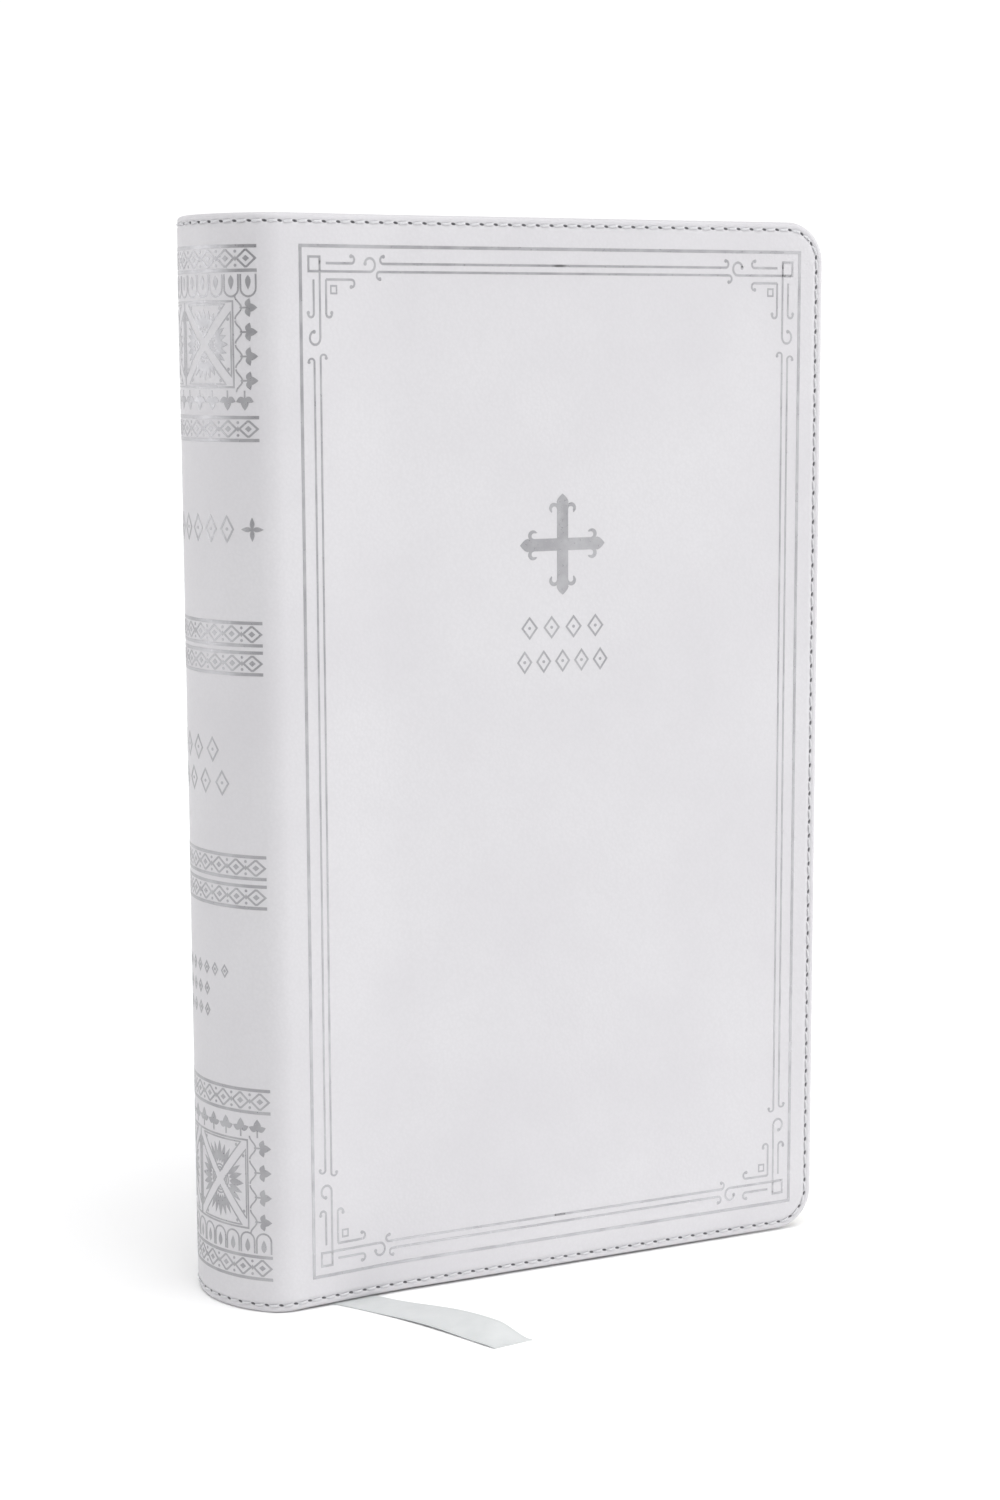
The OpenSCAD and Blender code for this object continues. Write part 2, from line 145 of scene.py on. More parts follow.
def on_case(points):
    """Places points (u, z, out) on the case. u runs round it from the spine's apex, to the
    front where it is positive, and out is the height above the skin."""
    points = np.asarray(points, float)
    signed, z, out = points[:, 0], points[:, 1], points[:, 2]
    u = np.abs(signed)
    apex = u < SHOULDER_U
    turn = np.where(apex, u / APEX_R, SHOULDER_A + (u - SHOULDER_U) / SHOULDER_R)
    turn = np.minimum(turn, math.pi / 2)
    radius = np.where(apex, APEX_R, SHOULDER_R)
    normal_x, normal_y = -np.cos(turn), -np.sin(turn)
    x = np.where(apex, X_APEX + APEX_R, X_HINGE) + radius * normal_x
    y = np.where(apex, 0, -Y_SHOULDER) + radius * normal_y
    run = np.maximum(u - HINGE_U, 0)
    t = np.clip(run / SWELL_RUN, 0, 1)
    slope = SWELL * 6 * t * (1 - t) / SWELL_RUN
    beyond = u > HINGE_U
    x = np.where(beyond, X_HINGE + run, x)
    y = np.where(beyond, SWELL * smooth(t) - HALF_SPINE, y)
    length = np.sqrt(1 + slope ** 2)
    normal_x = np.where(beyond, slope / length, normal_x)
    normal_y = np.where(beyond, -1 / length, normal_y)
    calm = smooth((FORE_U - u) / FADE) * smooth(z / FADE) * smooth((CASE_H - z) / FADE)
    out = out + ripple(signed, z) * calm
    lift = FRONT_LIFT * smooth((signed - HINGE_U) / FADE + 0.5) * (1 - z / CASE_H)
    side = np.where(signed < 0, -1, 1)
    return np.stack([x + normal_x * out, side * (y + normal_y * out), z + lift], 1)


# ---- meshes ----

def add_object(name, data):
    made = bpy.data.objects.new(name, data)
    bpy.context.scene.collection.objects.link(made)
    return made


def make_piece(name, points, faces, material, extra=None, weld=False, sharp=40):
    """Makes a mesh from millimetre points. It keeps where each point rests, for textures."""
    points = np.asarray(points, float)
    mesh = bpy.data.meshes.new(name)
    mesh.from_pydata((points * MM).tolist(), [], faces)
    for key, values in {"rest": points, **(extra or {})}.items():
        attribute = mesh.attributes.new(key, "FLOAT_VECTOR", "POINT")
        attribute.data.foreach_set("vector", np.asarray(values, np.float32).ravel())
    tidy = bmesh.new()
    tidy.from_mesh(mesh)
    if weld:
        bmesh.ops.remove_doubles(tidy, verts=tidy.verts, dist=0.0005 * MM)
    bmesh.ops.recalc_face_normals(tidy, faces=tidy.faces)
    tidy.to_mesh(mesh)
    tidy.free()
    mesh.shade_smooth()
    mesh.set_sharp_from_angle(angle=math.radians(sharp))
    mesh.materials.append(material)
    return add_object(name, mesh)


def tube_faces(start, rings, sides, capped=True):
    """Faces of a tube whose rings of points follow each other from a start index."""
    faces = []
    for i in range(rings - 1):
        for k in range(sides):
            a = start + i * sides + k
            b = start + i * sides + (k + 1) % sides
            faces.append([a, b, b + sides, a + sides])
    if capped:
        last = start + (rings - 1) * sides
        faces.append([start + k for k in reversed(range(sides))])
        faces.append([last + k for k in range(sides)])
    return faces


def blend_piece(piece, nodes):
    """Bakes the piece's placement into its mesh and hides the CAD nodes given."""
    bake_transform(piece)
    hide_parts(*nodes)


def ride_piece(piece, body, node):
    """The piece moves with a body as it is."""
    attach(piece, body)
    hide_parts(node)


# ---- material tools ----

class Nodes:
    """Short calls that add nodes to a tree."""

    def __init__(self, tree):
        self.tree = tree

    def node(self, kind, inputs, **settings):
        """Adds a node. Each of its inputs gets a number, a colour, a vector or a link."""
        made = self.tree.nodes.new(kind)
        for key, value in settings.items():
            setattr(made, key, value)
        for key, value in inputs.items():
            socket = made.inputs[key]
            if isinstance(value, bpy.types.NodeSocket):
                self.tree.links.new(value, socket)
            elif socket.type == "RGBA":
                socket.default_value = (*value, 1)
            else:
                socket.default_value = value
        return made

    def math(self, operation, first, second=0):
        return self.node("ShaderNodeMath", {0: first, 1: second}, operation=operation).outputs[0]

    def span(self, value, low=0.3, high=0.7, to_low=0, to_high=1):
        """Maps a value from one range to another, without going past its ends."""
        ends = {"From Min": low, "From Max": high, "To Min": to_low, "To Max": to_high}
        return self.node("ShaderNodeMapRange", {"Value": value, **ends}).outputs["Result"]

    def mix(self, factor, first, second):
        """Mixes two colours, each a tuple or a socket."""
        inputs = {"Factor": factor, "A": first, "B": second}
        return self.node("ShaderNodeMix", inputs, data_type="RGBA").outputs["Result"]

    def tones(self, value, first, second, low=0.3, high=0.7):
        """Goes from one colour to another while a value passes a range."""
        return self.mix(self.span(value, low, high), first, second)


class Finish(Nodes):
    """A material. Its textures lie in millimetres and stay with the surface when it bends."""

    def __init__(self, name, color, roughness, cad=False, **sockets):
        self.material = bpy.data.materials.new(name)
        self.material.use_nodes = True
        super().__init__(self.material.node_tree)
        self.shader = self.tree.nodes["Principled BSDF"]
        self.shader.inputs["Base Color"].default_value = (*color, 1)
        self.shader.inputs["Roughness"].default_value = roughness
        for key, value in sockets.items():
            self.shader.inputs[key.replace("_", " ")].default_value = value
        self.place = self.cad_place() if cad else self.attribute("rest")

    def attribute(self, name, output="Vector"):
        return self.node("ShaderNodeAttribute", {}, attribute_name=name).outputs[output]

    def parts_of(self, name):
        """X, Y and Z of an attribute."""
        return self.node("ShaderNodeSeparateXYZ", {0: self.attribute(name)}).outputs

    def cad_place(self):
        metres = self.node("ShaderNodeTexCoord", {}).outputs["Object"]
        inputs = {0: metres, "Scale": 1 / MM}
        return self.node("ShaderNodeVectorMath", inputs, operation="SCALE").outputs[0]

    def stretched(self, factors):
        """The coordinates multiplied along each axis."""
        inputs = {0: self.place, 1: factors}
        return self.node("ShaderNodeVectorMath", inputs, operation="MULTIPLY").outputs[0]

    def noise(self, scale, detail=3, place=None, roughness=0.5):
        inputs = {"Vector": place or self.place, "Scale": scale, "Detail": detail,
                  "Roughness": roughness}
        return self.node("ShaderNodeTexNoise", inputs).outputs["Fac"]

    def cells(self, scale):
        inputs = {"Vector": self.place, "Scale": scale}
        return self.node("ShaderNodeTexVoronoi", inputs, feature="F1").outputs["Distance"]

    def wave(self, scale, axis):
        inputs = {"Vector": self.place, "Scale": scale, "Distortion": 0}
        return self.node("ShaderNodeTexWave", inputs, bands_direction=axis).outputs["Fac"]

    def color(self, socket):
        self.tree.links.new(socket, self.shader.inputs["Base Color"])

    def roughness(self, socket):
        self.tree.links.new(socket, self.shader.inputs["Roughness"])

    def bump(self, height, distance, strength):
        """Adds a relief of that height in millimetres."""
        inputs = {"Strength": strength, "Distance": distance * MM, "Height": height}
        normal = self.shader.inputs["Normal"]
        if normal.is_linked:
            inputs["Normal"] = normal.links[0].from_socket
        made = self.node("ShaderNodeBump", inputs)
        self.tree.links.new(made.outputs["Normal"], normal)


# ---- materials ----

def leather():
    """White leather-look skin: fine pebble grain, cloudy tone and painted shade that darkens the needle holes."""
    m = Finish("white_leather", (0.60, 0.59, 0.61), 0.5, Specular_IOR_Level=0.42,
               Coat_Weight=0.06, Coat_Roughness=0.35)
    grain = m.cells(1.5)
    pores = m.noise(5.5, 2)
    clouds = m.noise(0.035)
    tone = m.tones(clouds, (0.585, 0.575, 0.597), (0.612, 0.604, 0.624), 0.35, 0.65)
    tone = m.mix(m.span(grain, 0.2, 0.75, 0, 0.28), tone, (0.545, 0.537, 0.556))
    # Shade in the needle holes is painted on as a near-black colour
    m.color(m.mix(needle_hole_shade(m), tone, (0.14, 0.14, 0.15)))
    m.roughness(m.span(m.noise(0.9, 4), 0.3, 0.7, 0.44, 0.58))
    m.bump(m.math("SUBTRACT", 1.0, grain), 0.028, 0.55)
    m.bump(pores, 0.012, 0.5)
    return m.material


def needle_hole_shade(m):
    """Painted shade of the needle holes: 1 inside a hole of the stitch line, 0 elsewhere.
    The attribute's first number counts stitches and its second is the distance from the edge."""
    seam = m.parts_of("seam")
    off_line = m.math("SUBTRACT", seam["Y"], STITCH_IN)
    slanted = m.math("ADD", seam["X"], m.math("MULTIPLY", off_line, 0.17))
    along = m.math("DIVIDE", m.math("PINGPONG", slanted, 0.5), 0.17)
    across = m.math("DIVIDE", m.math("ABSOLUTE", off_line), 0.3)
    away = m.math("ADD", m.math("MULTIPLY", along, along), m.math("MULTIPLY", across, across))
    return m.span(away, 0.55, 1.1, 1, 0)


def fibrous(m, fibres, dark, light, height, strength, low=0.3, high=0.7):
    """Colour and relief of a material that shows its fibres."""
    m.color(m.tones(fibres, dark, light, low, high))
    m.bump(fibres, height, strength)
    return m.material


def thread():
    m = Finish("white_thread", (0.62, 0.62, 0.63), 0.65, Sheen_Weight=0.1)
    return fibrous(m, m.noise(6), (0.55, 0.55, 0.57), (0.65, 0.65, 0.665), 0.03, 0.6, 0, 1)


def band_thread():
    m = Finish("band_thread", (0.84, 0.84, 0.84), 0.5, Sheen_Weight=0.3)
    return fibrous(m, m.noise(5), (0.74, 0.74, 0.745), (0.87, 0.87, 0.87), 0.03, 0.6)


def board():
    m = Finish("grey_board", (0.42, 0.37, 0.31), 0.85, cad=True)
    chips = m.noise(1.1, 5, m.stretched((1, 3, 1)), 0.65)
    return fibrous(m, chips, (0.33, 0.29, 0.24), (0.50, 0.45, 0.38), 0.06, 0.5)


def liner():
    m = Finish("kraft_liner", (0.50, 0.38, 0.25), 0.8, cad=True)
    fibres = m.noise(1.4, 5, m.stretched((1, 0.6, 3)), 0.7)
    return fibrous(m, fibres, (0.42, 0.31, 0.20), (0.56, 0.44, 0.30), 0.03, 0.5)


def foil():
    """Stamped silver foil: metal with a brushed unevenness and small worn specks."""
    m = Finish("silver_stamp", (0.345, 0.345, 0.36), 0.34, Metallic=0.92)
    cloud = m.noise(0.25, 4)
    tone = m.tones(cloud, (0.31, 0.308, 0.322), (0.385, 0.383, 0.398), 0.35, 0.65)
    specks = m.span(m.noise(4.5, 2), 0.68, 0.74)
    m.color(m.mix(specks, tone, (0.43, 0.43, 0.44)))
    m.roughness(m.span(m.noise(1.8), 0.3, 0.7, 0.26, 0.44))
    m.bump(m.noise(2.6), 0.02, 0.4)
    return m.material


def paper():
    """Thin pages: fine lines through the block's edges and a plain, faintly clouded face."""
    m = Finish("page_paper", (0.84, 0.82, 0.77), 0.72, Specular_IOR_Level=0.25)
    face = m.attribute("page_face", "Fac")
    lines = m.noise(1, 3, m.stretched((0.05, 11, 0.012)), 0.6)
    clouds = m.noise(0.04)
    fibres = m.noise(2.2, 4)
    edges = m.tones(lines, (0.70, 0.68, 0.63), (0.88, 0.865, 0.82))
    plain = m.tones(fibres, (0.79, 0.775, 0.73), (0.83, 0.815, 0.77))
    tone = m.mix(face, edges, plain)
    m.color(m.mix(m.span(clouds, 0.45, 0.7, 0, 0.3), tone, (0.80, 0.775, 0.71)))
    m.bump(m.math("MULTIPLY", lines, m.math("SUBTRACT", 1.0, face)), 0.05, 0.5)
    m.bump(fibres, 0.006, 0.4)
    return m.material


def endpaper(name, color, dark, cad=False):
    """Uncoated sheet with fibres and a faint felt mark."""
    m = Finish(name, color, 0.68, cad=cad, Specular_IOR_Level=0.25)
    fibres = m.noise(1.6, 5, m.stretched((0.5, 1, 2.4)), 0.7)
    clouds = m.noise(0.09)
    tone = m.tones(fibres, dark, color)
    m.color(m.mix(m.span(clouds, 0.4, 0.7, 0, 0.3), tone, dark))
    m.roughness(m.span(clouds, 0.3, 0.7, 0.62, 0.76))
    m.bump(fibres, 0.015, 0.4)
    return m.material


def lining():
    """Smooth lining leather on the inside of the case."""
    m = Finish("lining_leather", (0.76, 0.76, 0.765), 0.55, Specular_IOR_Level=0.35)
    grain = m.cells(2.2)
    clouds = m.noise(0.05)
    tone = m.tones(clouds, (0.72, 0.72, 0.73), (0.79, 0.79, 0.795), 0.35, 0.65)
    m.color(m.mix(m.span(grain, 0.2, 0.7, 0, 0.25), tone, (0.68, 0.68, 0.69)))
    m.bump(m.math("SUBTRACT", 1.0, grain), 0.02, 0.5)
    return m.material


def open_cloth(name, light, dark, pitch):
    """Plain woven cloth whose threads cross at a pitch in millimetres."""
    m = Finish(name, light, 0.85, cad=True, Sheen_Weight=0.2)
    scale = math.pi / (5 * pitch)
    across = m.wave(scale, "Y")
    upright = m.wave(scale, "Z")
    weave = m.math("MULTIPLY", across, upright)
    m.color(m.mix(m.span(weave, 0, 0.6), dark, light))
    m.bump(m.math("MAXIMUM", across, upright), 0.08, 0.8)
    return m.material


def sewing():
    m = Finish("linen_thread", (0.80, 0.78, 0.72), 0.7, cad=True)
    twist = m.wave(1.2, "DIAGONAL")
    m.color(m.mix(twist, (0.66, 0.63, 0.56), (0.86, 0.84, 0.79)))
    m.bump(twist, 0.08, 0.7)
    return m.material


def satin():
    """Ribbon: fine cross ribs, a raised edge along each side that is painted darker as shade, and a soft sheen."""
    m = Finish("ribbon_satin", (0.78, 0.80, 0.80), 0.36, Sheen_Weight=0.35,
               Anisotropic=0.5, Specular_IOR_Level=0.5)
    along = m.parts_of("along")
    rib_pitch = 0.32
    ribs = m.span(m.math("SINE", m.math("MULTIPLY", along["X"], 2 * math.pi / rib_pitch)), -1, 1)
    edge = m.span(m.math("ABSOLUTE", along["Y"]), 3.6, 4.0)
    tone = m.tones(m.noise(0.3), (0.58, 0.60, 0.60), (0.635, 0.65, 0.65))
    tone = m.mix(m.math("MULTIPLY", ribs, 0.25), tone, (0.53, 0.55, 0.55))
    # Painted shade: the colour is darker along both sides of the ribbon, while the same mask raises the edge in
    # the relief
    m.color(m.mix(m.math("MULTIPLY", edge, 0.5), tone, (0.50, 0.52, 0.52)))
    m.roughness(m.span(ribs, 0, 1, 0.30, 0.44))
    m.bump(ribs, 0.02, 0.5)
    m.bump(edge, 0.04, 0.5)
    return m.material


# ---- camera, light and floor ----

CAMERA_AT = (-0.2484, -0.5220, 0.1953)
CAMERA_LENS = 65.4
CAMERA_TURN, CAMERA_DIP, CAMERA_ROLL = -25.46, 8.34, -0.21


def make_camera():
    """Camera at the height and the angle of the photograph."""
    data = bpy.data.cameras.new("camera")
    data.lens = CAMERA_LENS
    data.sensor_width = 36
    data.clip_start = 0.01
    data.clip_end = 20
    camera = add_object("camera", data)
    camera.location = CAMERA_AT
    turn = Matrix.Rotation(math.radians(CAMERA_TURN), 4, "Z")
    tip = Matrix.Rotation(math.radians(90 - CAMERA_DIP), 4, "X")
    roll = Matrix.Rotation(math.radians(CAMERA_ROLL), 4, "Z")
    camera.rotation_mode = "QUATERNION"
    camera.rotation_quaternion = (turn @ tip @ roll).to_quaternion()
    bpy.context.scene.camera = camera


def make_lamp(name, size, power, location, target, gloss_only=False):
    """Square lamp that the camera doesn't see. A gloss-only one shows as a reflection alone."""
    data = bpy.data.lights.new(name, "AREA")
    data.size = size
    data.energy = power
    lamp = add_object(name, data)
    lamp.visible_camera = False
    lamp.visible_diffuse = not gloss_only
    lamp.location = location
    aim = Vector(target) - Vector(location)
    lamp.rotation_euler = aim.to_track_quat("-Z", "Y").to_euler()


def make_sun(name, strength, spread, direction):
    data = bpy.data.lights.new(name, "SUN")
    data.energy = strength
    data.angle = math.radians(spread)
    sun = add_object(name, data)
    sun.rotation_euler = Vector(direction).to_track_quat("-Z", "Y").to_euler()


# The surroundings' strength: a direction, a range of its cosine and the strengths at both ends
SKY = [((0, 0, 1), (0.25, 0.8), (1.06, 0.25)),
       ((-0.85, 0.52, 0), (0.3, 1.0), (1.0, 1.6)),
       ((-0.78, -0.62, 0), (0.1, 0.8), (1.0, 0.5))]


def make_world():
    """White surroundings, bright round the horizon and dimmer overhead. They are a little
    brighter behind the spine and darker before it."""
    world = bpy.data.worlds.new("studio")
    world.use_nodes = True
    sky = Nodes(world.node_tree)
    direction = sky.node("ShaderNodeTexCoord", {}).outputs["Generated"]
    strength = 1.0
    for axis, cosines, strengths in SKY:
        along = sky.node("ShaderNodeVectorMath", {0: direction, 1: axis}, operation="DOT_PRODUCT")
        ramp = sky.span(along.outputs["Value"], *cosines, *strengths)
        strength = sky.math("MULTIPLY", strength, ramp)
    back = sky.tree.nodes["Background"]
    back.inputs["Color"].default_value = (1, 1, 1, 1)
    sky.tree.links.new(strength, back.inputs["Strength"])
    bpy.context.scene.world = world


def make_studio():
    """Even white light, a broad high light from the front and a weak soft lamp. Two cards
    brighten the foil alone: one beside the spine and one on the floor before the cover."""
    make_world()
    bpy.context.scene.view_settings.view_transform = "Standard"
    make_sun("overhead", 2.4, 60, (0.04, 0.30, -1))
    make_lamp("key", 0.8, 5.0, (1.1, -0.72, 0.35), (0, 0, 0.08))
    make_lamp("spine_card", 0.8, 1.7, (-0.84, 0.34, 0.12), (-0.07, 0, 0.11), True)
    make_lamp("floor_card", 0.42, 0.33, (0.14, -0.23, 0.002), (0.14, -0.23, 1), True)


def make_floor():
    size = 6.0
    mesh = bpy.data.meshes.new("floor")
    corners = [(-size, -size, 0), (size, -size, 0), (size, size, 0), (-size, size, 0)]
    mesh.from_pydata(corners, [], [[0, 1, 2, 3]])
    white = Finish("floor_white", (0.95, 0.95, 0.95), 0.8, cad=True, Specular_IOR_Level=0.1)
    white.color(white.mix(white.noise(0.02, 2), (0.94, 0.94, 0.94), (0.96, 0.96, 0.96)))
    mesh.materials.append(white.material)
    floor = add_object("floor", mesh)


# ---- skin of the case ----

# Section of the skin's edge: distance from the outline and height above the skin's face, from
# the face over the stitch groove and the rolled edge to the inner side
EDGE_SECTION = [
    (CORNER_R, 0), (7.2, 0), (6.0, 0), (4.8, 0), (3.8, 0), (3.1, 0), (2.7, 0), (2.4, -0.02),
    (2.15, -0.07), (1.95, -0.15), (1.78, -0.21), (STITCH_IN, -0.24), (1.42, -0.21),
    (1.25, -0.15), (1.05, -0.08), (0.85, -0.06), (0.62, -0.09), (0.42, -0.17), (0.24, -0.31),
    (0.1, -0.52), (0.02, -0.8), (0, -1.05), (0.02, -1.3), (0.1, -1.56), (0.24, -1.78),
    (0.45, -1.93), (0.75, -RIM_D), (RIM_W, -RIM_D), (RIM_W, -SKIN_D), (CORNER_R, -SKIN_D)]
OUTER_ROWS = 21

# Seam marks away from the stitch line, for the face and for the inner side
FACE_MARK = 40
INNER_MARK = -5


class EdgeLine:
    """The open edge of half the case, from the apex at the tail round to the apex at the head,
    with steps of equal length along the stitch line."""

    def __init__(self):
        self.straight = FORE_U - CORNER_R
        self.arc = (CORNER_R - STITCH_IN) * math.pi / 2
        self.upright = CASE_H - 2 * CORNER_R
        self.length = 2 * self.straight + 2 * self.arc + self.upright
        self.stitches = round(self.length / STITCH_PITCH)
        self.count = self.stitches * STEPS
        self.step = self.length / self.count
        self.first_corner = math.floor(self.straight / self.step) + 1
        self.first_side = math.ceil((self.straight + self.arc) / self.step)

    def at(self, s):
        """Centre of the rounding (u, z) and the outward direction at a distance s."""
        if s > self.length / 2:
            u, z, du, dz = self.at(self.length - s)
            return u, CASE_H - z, du, -dz
        if s <= self.straight:
            return s, CORNER_R, 0, -1
        past = s - self.straight
        if past < self.arc:
            a = past / self.arc * math.pi / 2
            return self.straight, CORNER_R, math.sin(a), -math.cos(a)
        return self.straight, CORNER_R + past - self.arc, 1, 0

    def point(self, s, inset):
        """(u, z) at a distance s and a distance in from the outline."""
        u, z, du, dz = self.at(s)
        reach = CORNER_R - inset
        return u + du * reach, z + dz * reach

    def in_corner(self, k):
        near = min(k, self.count - k)
        return self.first_corner <= near < self.first_side


edge_line = EdgeLine()


def pit(k, inset):
    """Depth of the needle holes at a step of the edge line."""
    away = min(k % STEPS, STEPS - k % STEPS) * edge_line.step
    return HOLE_DEPTH * math.exp(-(away / 0.3) ** 2 - ((inset - STITCH_IN) / 0.2) ** 2)


def edge_rows():
    """Points (u, z, out) and seam marks of the skin's edge, row by row."""
    points, seam = [], []
    for row, (inset, out) in enumerate(EDGE_SECTION):
        outer = row < OUTER_ROWS
        for k in range(edge_line.count + 1):
            u, z = edge_line.point(k * edge_line.step, inset)
            points.append([u, z, out - (pit(k, inset) if outer else 0)])
            seam.append([k / STEPS, inset if outer else INNER_MARK, 0])
    return points, seam


# Cells of the skin's plate: one step wide within FINE_RUN of the hinge, else COARSE steps
FINE_RUN = 7
COARSE = 4


def plate_columns():
    """Steps of the edge line where the plate inside it has its columns, close at the hinge."""
    columns = [0, 1]
    while columns[-1] < edge_line.first_corner:
        from_hinge = abs(columns[-1] * edge_line.step - HINGE_U)
        columns.append(columns[-1] + (1 if from_hinge < FINE_RUN else COARSE))
    return [k for k in columns if k < edge_line.first_corner - 1] + [edge_line.first_corner]


def plate_rows():
    last = edge_line.count - edge_line.first_side
    inner = list(range(edge_line.first_side + 3, last - 3, COARSE))
    return [edge_line.first_corner] + inner + [edge_line.count - edge_line.first_corner]


def add_plate(points, seam, faces, ring, out, mark):
    """Fills the inside of a ring of edge points with cells. Returns its column at the apex."""
    columns, rows = plate_columns(), plate_rows()
    last_i, last_j = len(columns) - 1, len(rows) - 1
    inner = {}
    for i in range(last_i):
        for j in range(1, last_j):
            u = edge_line.point(columns[i] * edge_line.step, CORNER_R)[0]
            z = edge_line.point(rows[j] * edge_line.step, CORNER_R)[1]
            inner[i, j] = len(points)
            points.append([u, z, out])
            seam.append([0, mark, 0])

    def step_at(i, j):
        """Step of the edge line where a node of the plate lies, unless it lies inside."""
        if j in (0, last_j):
            return edge_line.count - columns[i] if j else columns[i]
        return rows[j] if i == last_i else None

    def along(here, there):
        """A node and the ring's points between it and the next, left out in a corner."""
        a, b = step_at(*here), step_at(*there)
        if a is None:
            return [inner[here]]
        between = range(a + 1, a if b is None else b)
        return [ring[a]] + [ring[k] for k in between if not edge_line.in_corner(k)]

    for i in range(last_i):
        for j in range(last_j):
            corners = [(i, j), (i + 1, j), (i + 1, j + 1), (i, j + 1), (i, j)]
            faces.append(sum((along(*pair) for pair in zip(corners, corners[1:])), []))
    return [inner[0, j] for j in range(1, last_j)]


def skin_half(name, side, material, nodes):
    """Half of the case's skin, one closed solid from the spine's apex to the fore-edge."""
    points, seam = edge_rows()
    width = edge_line.count + 1
    faces = []
    for row in range(len(EDGE_SECTION) - 1):
        for k in range(edge_line.count):
            a = row * width + k
            faces.append([a, a + 1, a + 1 + width, a + width])
    last_row = (len(EDGE_SECTION) - 1) * width
    outer_column = add_plate(points, seam, faces, range(width), 0, FACE_MARK)
    inner_ring = range(last_row, last_row + width)
    inner_column = add_plate(points, seam, faces, inner_ring, -SKIN_D, INNER_MARK)
    tail_end = [row * width for row in range(len(EDGE_SECTION))]
    head_end = [row * width + edge_line.count for row in reversed(range(len(EDGE_SECTION)))]
    faces.append(tail_end + inner_column + head_end + outer_column[::-1])
    # The apex itself has to count as this side's
    points = np.array(points) * (side, 1, 1) + (1e-9 * side, 0, 0)
    piece = make_piece(name, on_case(points), faces, material, {"seam": seam}, weld=True,
                       sharp=50)
    blend_piece(piece, nodes)


# ---- stitches ----

THREAD_R = 0.24
THREAD_SIDES = 8
THREAD_RINGS = 9

# Share of a stitch at each end that its needle holes take, and the thread's height between them
HOLE_SHARE = 0.13
THREAD_RISE = 0.46


def stitch_row(points, faces, side, surface_out, direction):
    """Threads from hole to hole along the edge line. Each dips into its holes at both ends."""
    for number in range(edge_line.stitches):
        start = len(points)
        wobble = random.uniform(-0.04, 0.04)
        for i in range(THREAD_RINGS):
            t = i / (THREAD_RINGS - 1)
            s = (number + HOLE_SHARE + (1 - 2 * HOLE_SHARE) * t) * edge_line.step * STEPS
            rise = 1 - abs(2 * t - 1) ** 4
            reach = THREAD_R * (0.55 + 0.45 * rise)
            drift = STITCH_IN + wobble + 0.1 * (2 * t - 1)
            out = surface_out + direction * (THREAD_RISE * rise - HOLE_DEPTH)
            for k in range(THREAD_SIDES):
                a = 2 * math.pi * k / THREAD_SIDES
                ply = 1 + 0.1 * math.cos(2 * a - 3 * math.pi * t)
                u, z = edge_line.point(s, drift + reach * ply * math.cos(a))
                lift = direction * reach * 0.8 * ply * math.sin(a)
                points.append([side * u, z, out + lift])
        faces += tube_faces(start, THREAD_RINGS, THREAD_SIDES)


def stitches(name, side, material, nodes):
    points, faces = [], []
    stitch_row(points, faces, side, -0.06, 1)
    stitch_row(points, faces, side, -LINING_D - 0.02, -1)
    piece = make_piece(name, on_case(points), faces, material)
    blend_piece(piece, nodes)


# ---- lining of the case ----

LINING_INSET = 0.6
LINING_START = HINGE_U - 7


def lining_depth(u):
    """Depth of the lining's outer side: on the skin at the hinge, over the board further on."""
    return SKIN_D + (RIM_D - SKIN_D) * float(smooth((u - HINGE_U) / 4))


def lining_sheet(name, side, material, node):
    """Sheet inside the case from the spine's shoulder to the rim, with round outer corners."""
    radius = CORNER_R - LINING_INSET
    straight = FORE_U - CORNER_R
    thick = LINING_D - RIM_D
    stations = [LINING_START + 0.5 * i for i in range(40)]
    stations += [float(u) for u in np.linspace(stations[-1] + 3, straight, 24)]
    turns = [math.pi / 2 * i / 12 for i in range(1, 13)]
    outline = [(u, 0) for u in stations] + [(straight, a) for a in turns]
    points = []
    for start, a in outline:
        u = start + radius * math.sin(a)
        z = CORNER_R - radius * math.cos(a)
        outer = -lining_depth(u)
        inner = outer - thick
        points += [[side * u, z, outer], [side * u, CASE_H - z, outer],
                   [side * u, CASE_H - z, inner], [side * u, z, inner]]
    piece = make_piece(name, on_case(points), tube_faces(0, len(outline), 4), material, weld=True)
    blend_piece(piece, [node])


# ---- foil stamping ----

# Heights of the foil's face and back above and below the skin's face
FOIL_OUT = 0.035
FOIL_IN = 0.03


def spaced(points, step):
    """A line through the points with no gap longer than a step."""
    line = [points[0]]
    for (u0, z0), (u1, z1) in zip(points, points[1:]):
        pieces = max(1, math.ceil(math.hypot(u1 - u0, z1 - z0) / step))
        line += [(u0 + (u1 - u0) * i / pieces, z0 + (z1 - z0) * i / pieces)
                 for i in range(1, pieces + 1)]
    return line


def arc(u, z, radius, start, end, pieces=10):
    """Points on an arc, with its angles in degrees from the u direction."""
    angles = [math.radians(start + (end - start) * i / pieces) for i in range(pieces + 1)]
    return [(u + radius * math.cos(a), z + radius * math.sin(a)) for a in angles]


def middles(count, reach):
    """Middles of equal parts of the stretch from -reach to reach."""
    return [((2 * i + 1) / count - 1) * reach for i in range(count)]


def box_line(u0, z0, u1, z1):
    """Corners of an upright rectangle."""
    return [(u0, z0), (u1, z0), (u1, z1), (u0, z1)]


